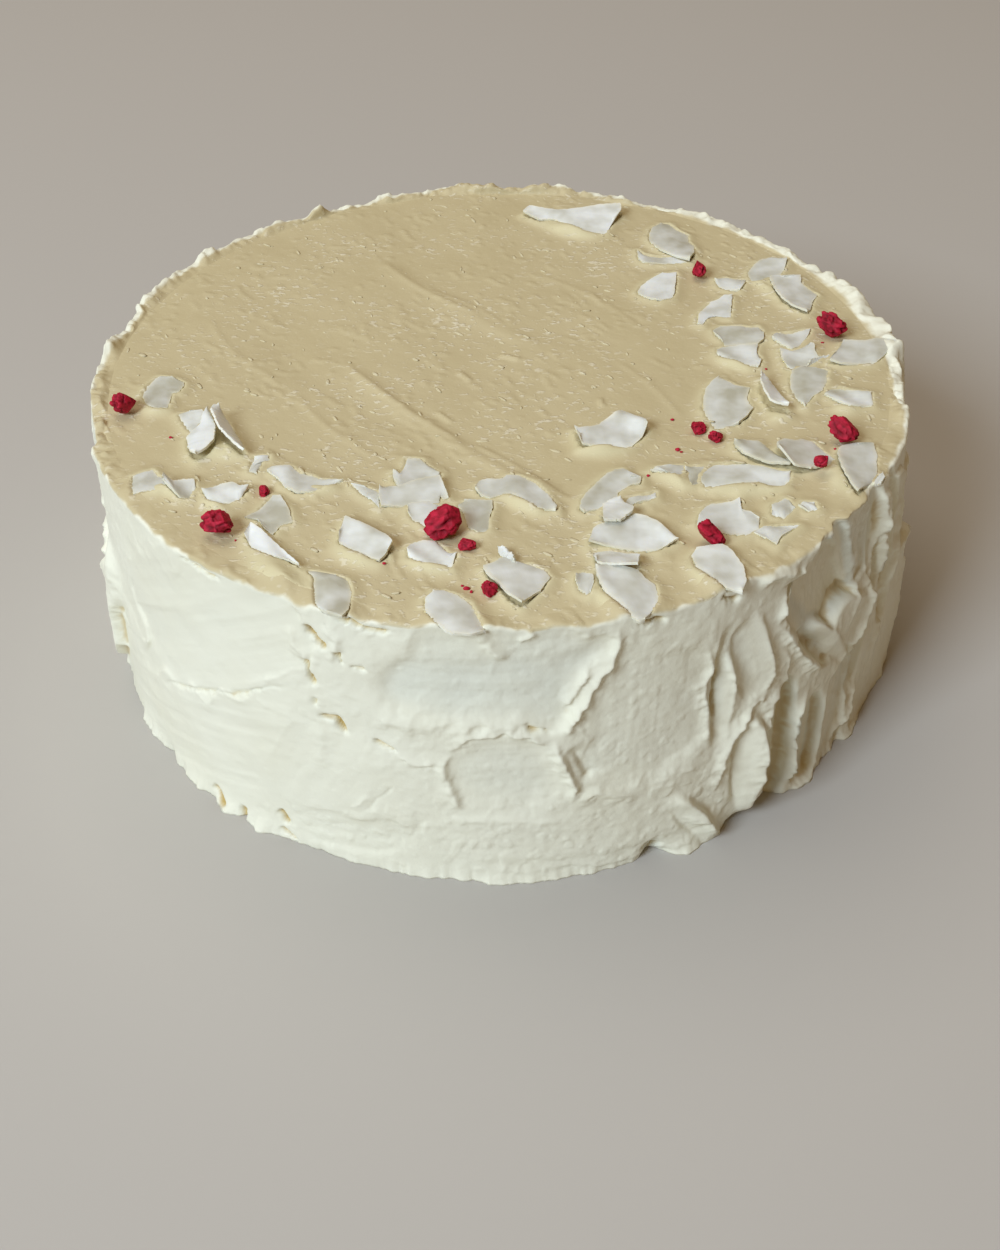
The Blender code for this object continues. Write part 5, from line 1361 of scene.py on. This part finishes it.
def raspberry_arrays(middle, half, seed, lean=None):
    """A freeze-dried piece as one closed surface: a ball with drupelets that meet in creases round middles
    on a golden spiral, crossed by sharp folds, cut by flat faces where it broke, drawn out along a lean and
    scaled to its box."""
    unit, quads, caps = ball_grid(*RASPBERRY_CELLS)
    rng = np.random.default_rng(seed)
    count = int(np.clip(half.mean() / DRUPELET, *DRUPELET_COUNT))
    step = np.arange(count) + 0.5
    tilt = np.arccos(1.0 - 2.0 * step / count)
    turn = step * math.pi * (3.0 - math.sqrt(5.0)) + rng.uniform(0.0, 6.0)
    lobes = np.stack([np.sin(tilt) * np.cos(turn), np.sin(tilt) * np.sin(turn), np.cos(tilt)], axis=-1)
    lobes += rng.normal(0.0, DRUPELET_UNEVEN, lobes.shape)
    lobes /= np.linalg.norm(lobes, axis=1, keepdims=True)
    reach = np.arccos(np.clip(unit @ lobes.T, -1.0, 1.0)) * rng.uniform(*DRUPELET_SIZES, count)
    nearest = np.sort(reach, axis=1)
    seam = smooth_step((nearest[:, 1] - nearest[:, 0]) / SEAM_WIDTH)
    folds = 1.0 - np.abs(rough_cloud(unit * 4, FOLD_SIZE, seed))
    points = unit * (CORE_SHARE + SEAM_SHARE * seam + FOLD_SHARE * folds)[:, None]
    for _ in range(BROKEN_FACES):
        normal = rng.normal(size=3)
        normal /= np.linalg.norm(normal)
        over = np.clip(points @ normal - rng.uniform(*BROKEN_FROM), 0.0, None)
        points -= BROKEN_DEPTH * over[:, None] * normal
    if lean is not None:
        axis = np.array([math.cos(math.radians(lean)), LEAN_BACK, math.sin(math.radians(lean))])
        axis /= np.linalg.norm(axis)
        points += (RASPBERRY_STRETCH - 1.0) * (points @ axis)[:, None] * axis
    points *= half / np.abs(points).max(axis=0)
    # How far each point is out of the painted cleft shade: away from seams and up on folds
    unshaded_fold = smooth_step((folds - FOLD_UNSHADED_RAMP[0]) / FOLD_UNSHADED_RAMP[1])
    return middle + points, [quads, caps], SEAM_UNSHADED * seam + FOLD_UNSHADED * unshaded_fold


def add_raspberries(material):
    """The raspberry pieces, the smaller bits sunk in the frosting, and the crumbs round them."""
    count = sum(name.startswith("raspberry_piece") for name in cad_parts)
    for number in range(count):
        node = f"raspberry_piece_{number + 1:02d}"
        low, high = (np.array(corner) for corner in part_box(node))
        points, faces, swell = raspberry_arrays((low + high) / 2, (high - low) / 2, 300 + number,
                                                RASPBERRY_LEANS[number])
        piece = add_piece(f"{node}_dried", points, faces, material, {"swell": swell})
        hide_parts(node)
    for number, (x, y, width, depth, height) in enumerate(RASPBERRY_BITS):
        level = top_height(np.array([x * MM]), np.array([y * MM]))[0]
        middle = np.array([x * MM, y * MM, level + (height / 2 - BIT_SUNK_MM) * MM])
        half = np.array([width, depth, height]) / 2 * MM
        points, faces, swell = raspberry_arrays(middle, half, 700 + number)
        add_piece(f"raspberry_bit_{number + 1:02d}", points, faces, material, {"swell": swell})
    crumbs = np.array(RASPBERRY_CRUMBS) * MM
    sizes = np.repeat(crumbs[:, 2:] / 2, 3, axis=1) * CRUMB_FORM
    reach = np.hypot(crumbs[:, 0], crumbs[:, 1])
    level = np.where(reach < TOP_RADIUS, top_height(crumbs[:, 0], crumbs[:, 1]), CAKE_HEIGHT + 1 * MM)
    places = np.stack([crumbs[:, 0], crumbs[:, 1], level + CRUMB_LIFT * crumbs[:, 2]], axis=-1)
    axes = np.tile(np.eye(3)[None], (len(places), 1, 1))
    points, faces = scattered(places, sizes, axes, CRUMB_DENTS, 81)
    # Crumbs get a little of the painted cleft shade
    looks = {"swell": np.full(len(points), CRUMB_UNSHADED)}
    add_piece("raspberry_crumbs", points, faces, material, looks)


def add_floor():
    """A plain pale floor under the cake."""
    half = FLOOR_HALF
    mesh = bpy.data.meshes.new("floor")
    mesh.from_pydata([(-half, -half, 0.0), (half, -half, 0.0), (half, half, 0.0), (-half, half, 0.0)], [],
                     [(0, 1, 2, 3)])
    floor = bpy.data.objects.new("floor", mesh)
    bpy.context.scene.collection.objects.link(floor)
    material, _, shader, _ = new_material("matt card")
    shader.inputs["Base Color"].default_value = linear(FLOOR_COLOUR)
    shader.inputs["Roughness"].default_value = 0.8
    mesh.materials.append(material)


def add_area_light(name, place, target, size, power, colour):
    """A soft square light that faces a target."""
    lamp = bpy.data.lights.new(name, "AREA")
    lamp.shape = "SQUARE"
    lamp.size = size
    lamp.energy = power
    lamp.color = linear(colour)[:3]
    light = bpy.data.objects.new(name, lamp)
    light.location = place
    light.rotation_euler = (Vector(target) - Vector(place)).to_track_quat("-Z", "Y").to_euler()
    bpy.context.scene.collection.objects.link(light)


def add_lights():
    """A wide cool window from the front left, a lit ceiling towards the back, and dim warm light all
    round."""
    level = WINDOW_DISTANCE * math.cos(WINDOW_RISE)
    place = (level * math.sin(WINDOW_TURN), -level * math.cos(WINDOW_TURN),
             WINDOW_DISTANCE * math.sin(WINDOW_RISE))
    add_area_light("window", place, LIT_POINT, *WINDOW)
    add_area_light("ceiling", CEILING_PLACE, LIT_POINT, *CEILING)
    world = bpy.data.worlds.new("warm room")
    world.use_nodes = True
    background = world.node_tree.nodes["Background"]
    background.inputs["Color"].default_value = linear(ROOM_COLOUR)
    background.inputs["Strength"].default_value = ROOM_STRENGTH
    bpy.context.scene.world = world


def add_camera():
    """The photo's camera, from the fit of its circles."""
    data = bpy.data.cameras.new("camera")
    data.lens = CAMERA_LENS
    data.sensor_width = SENSOR_WIDTH
    camera = bpy.data.objects.new("camera", data)
    turned = Matrix.Rotation(math.pi / 2 - CAMERA_DOWN, 4, "X") @ Matrix.Rotation(CAMERA_ROLL, 4, "Z")
    camera.matrix_world = Matrix.Translation(CAMERA_PLACE) @ turned
    bpy.context.scene.collection.objects.link(camera)
    bpy.context.scene.camera = camera


add_camera()
add_lights()
add_floor()
bpy.context.scene.view_settings.view_transform = "Standard"
frosting = frosting_material()
for part, first_turn, last_turn, columns, rows in SIDE_PARTS:
    add_side(f"frosting_{part}", frosting, math.radians(first_turn), math.radians(last_turn), columns, rows)
add_top(frosting)
add_top_lumps(frosting)
add_chips(coconut_material())
add_raspberries(raspberry_material())
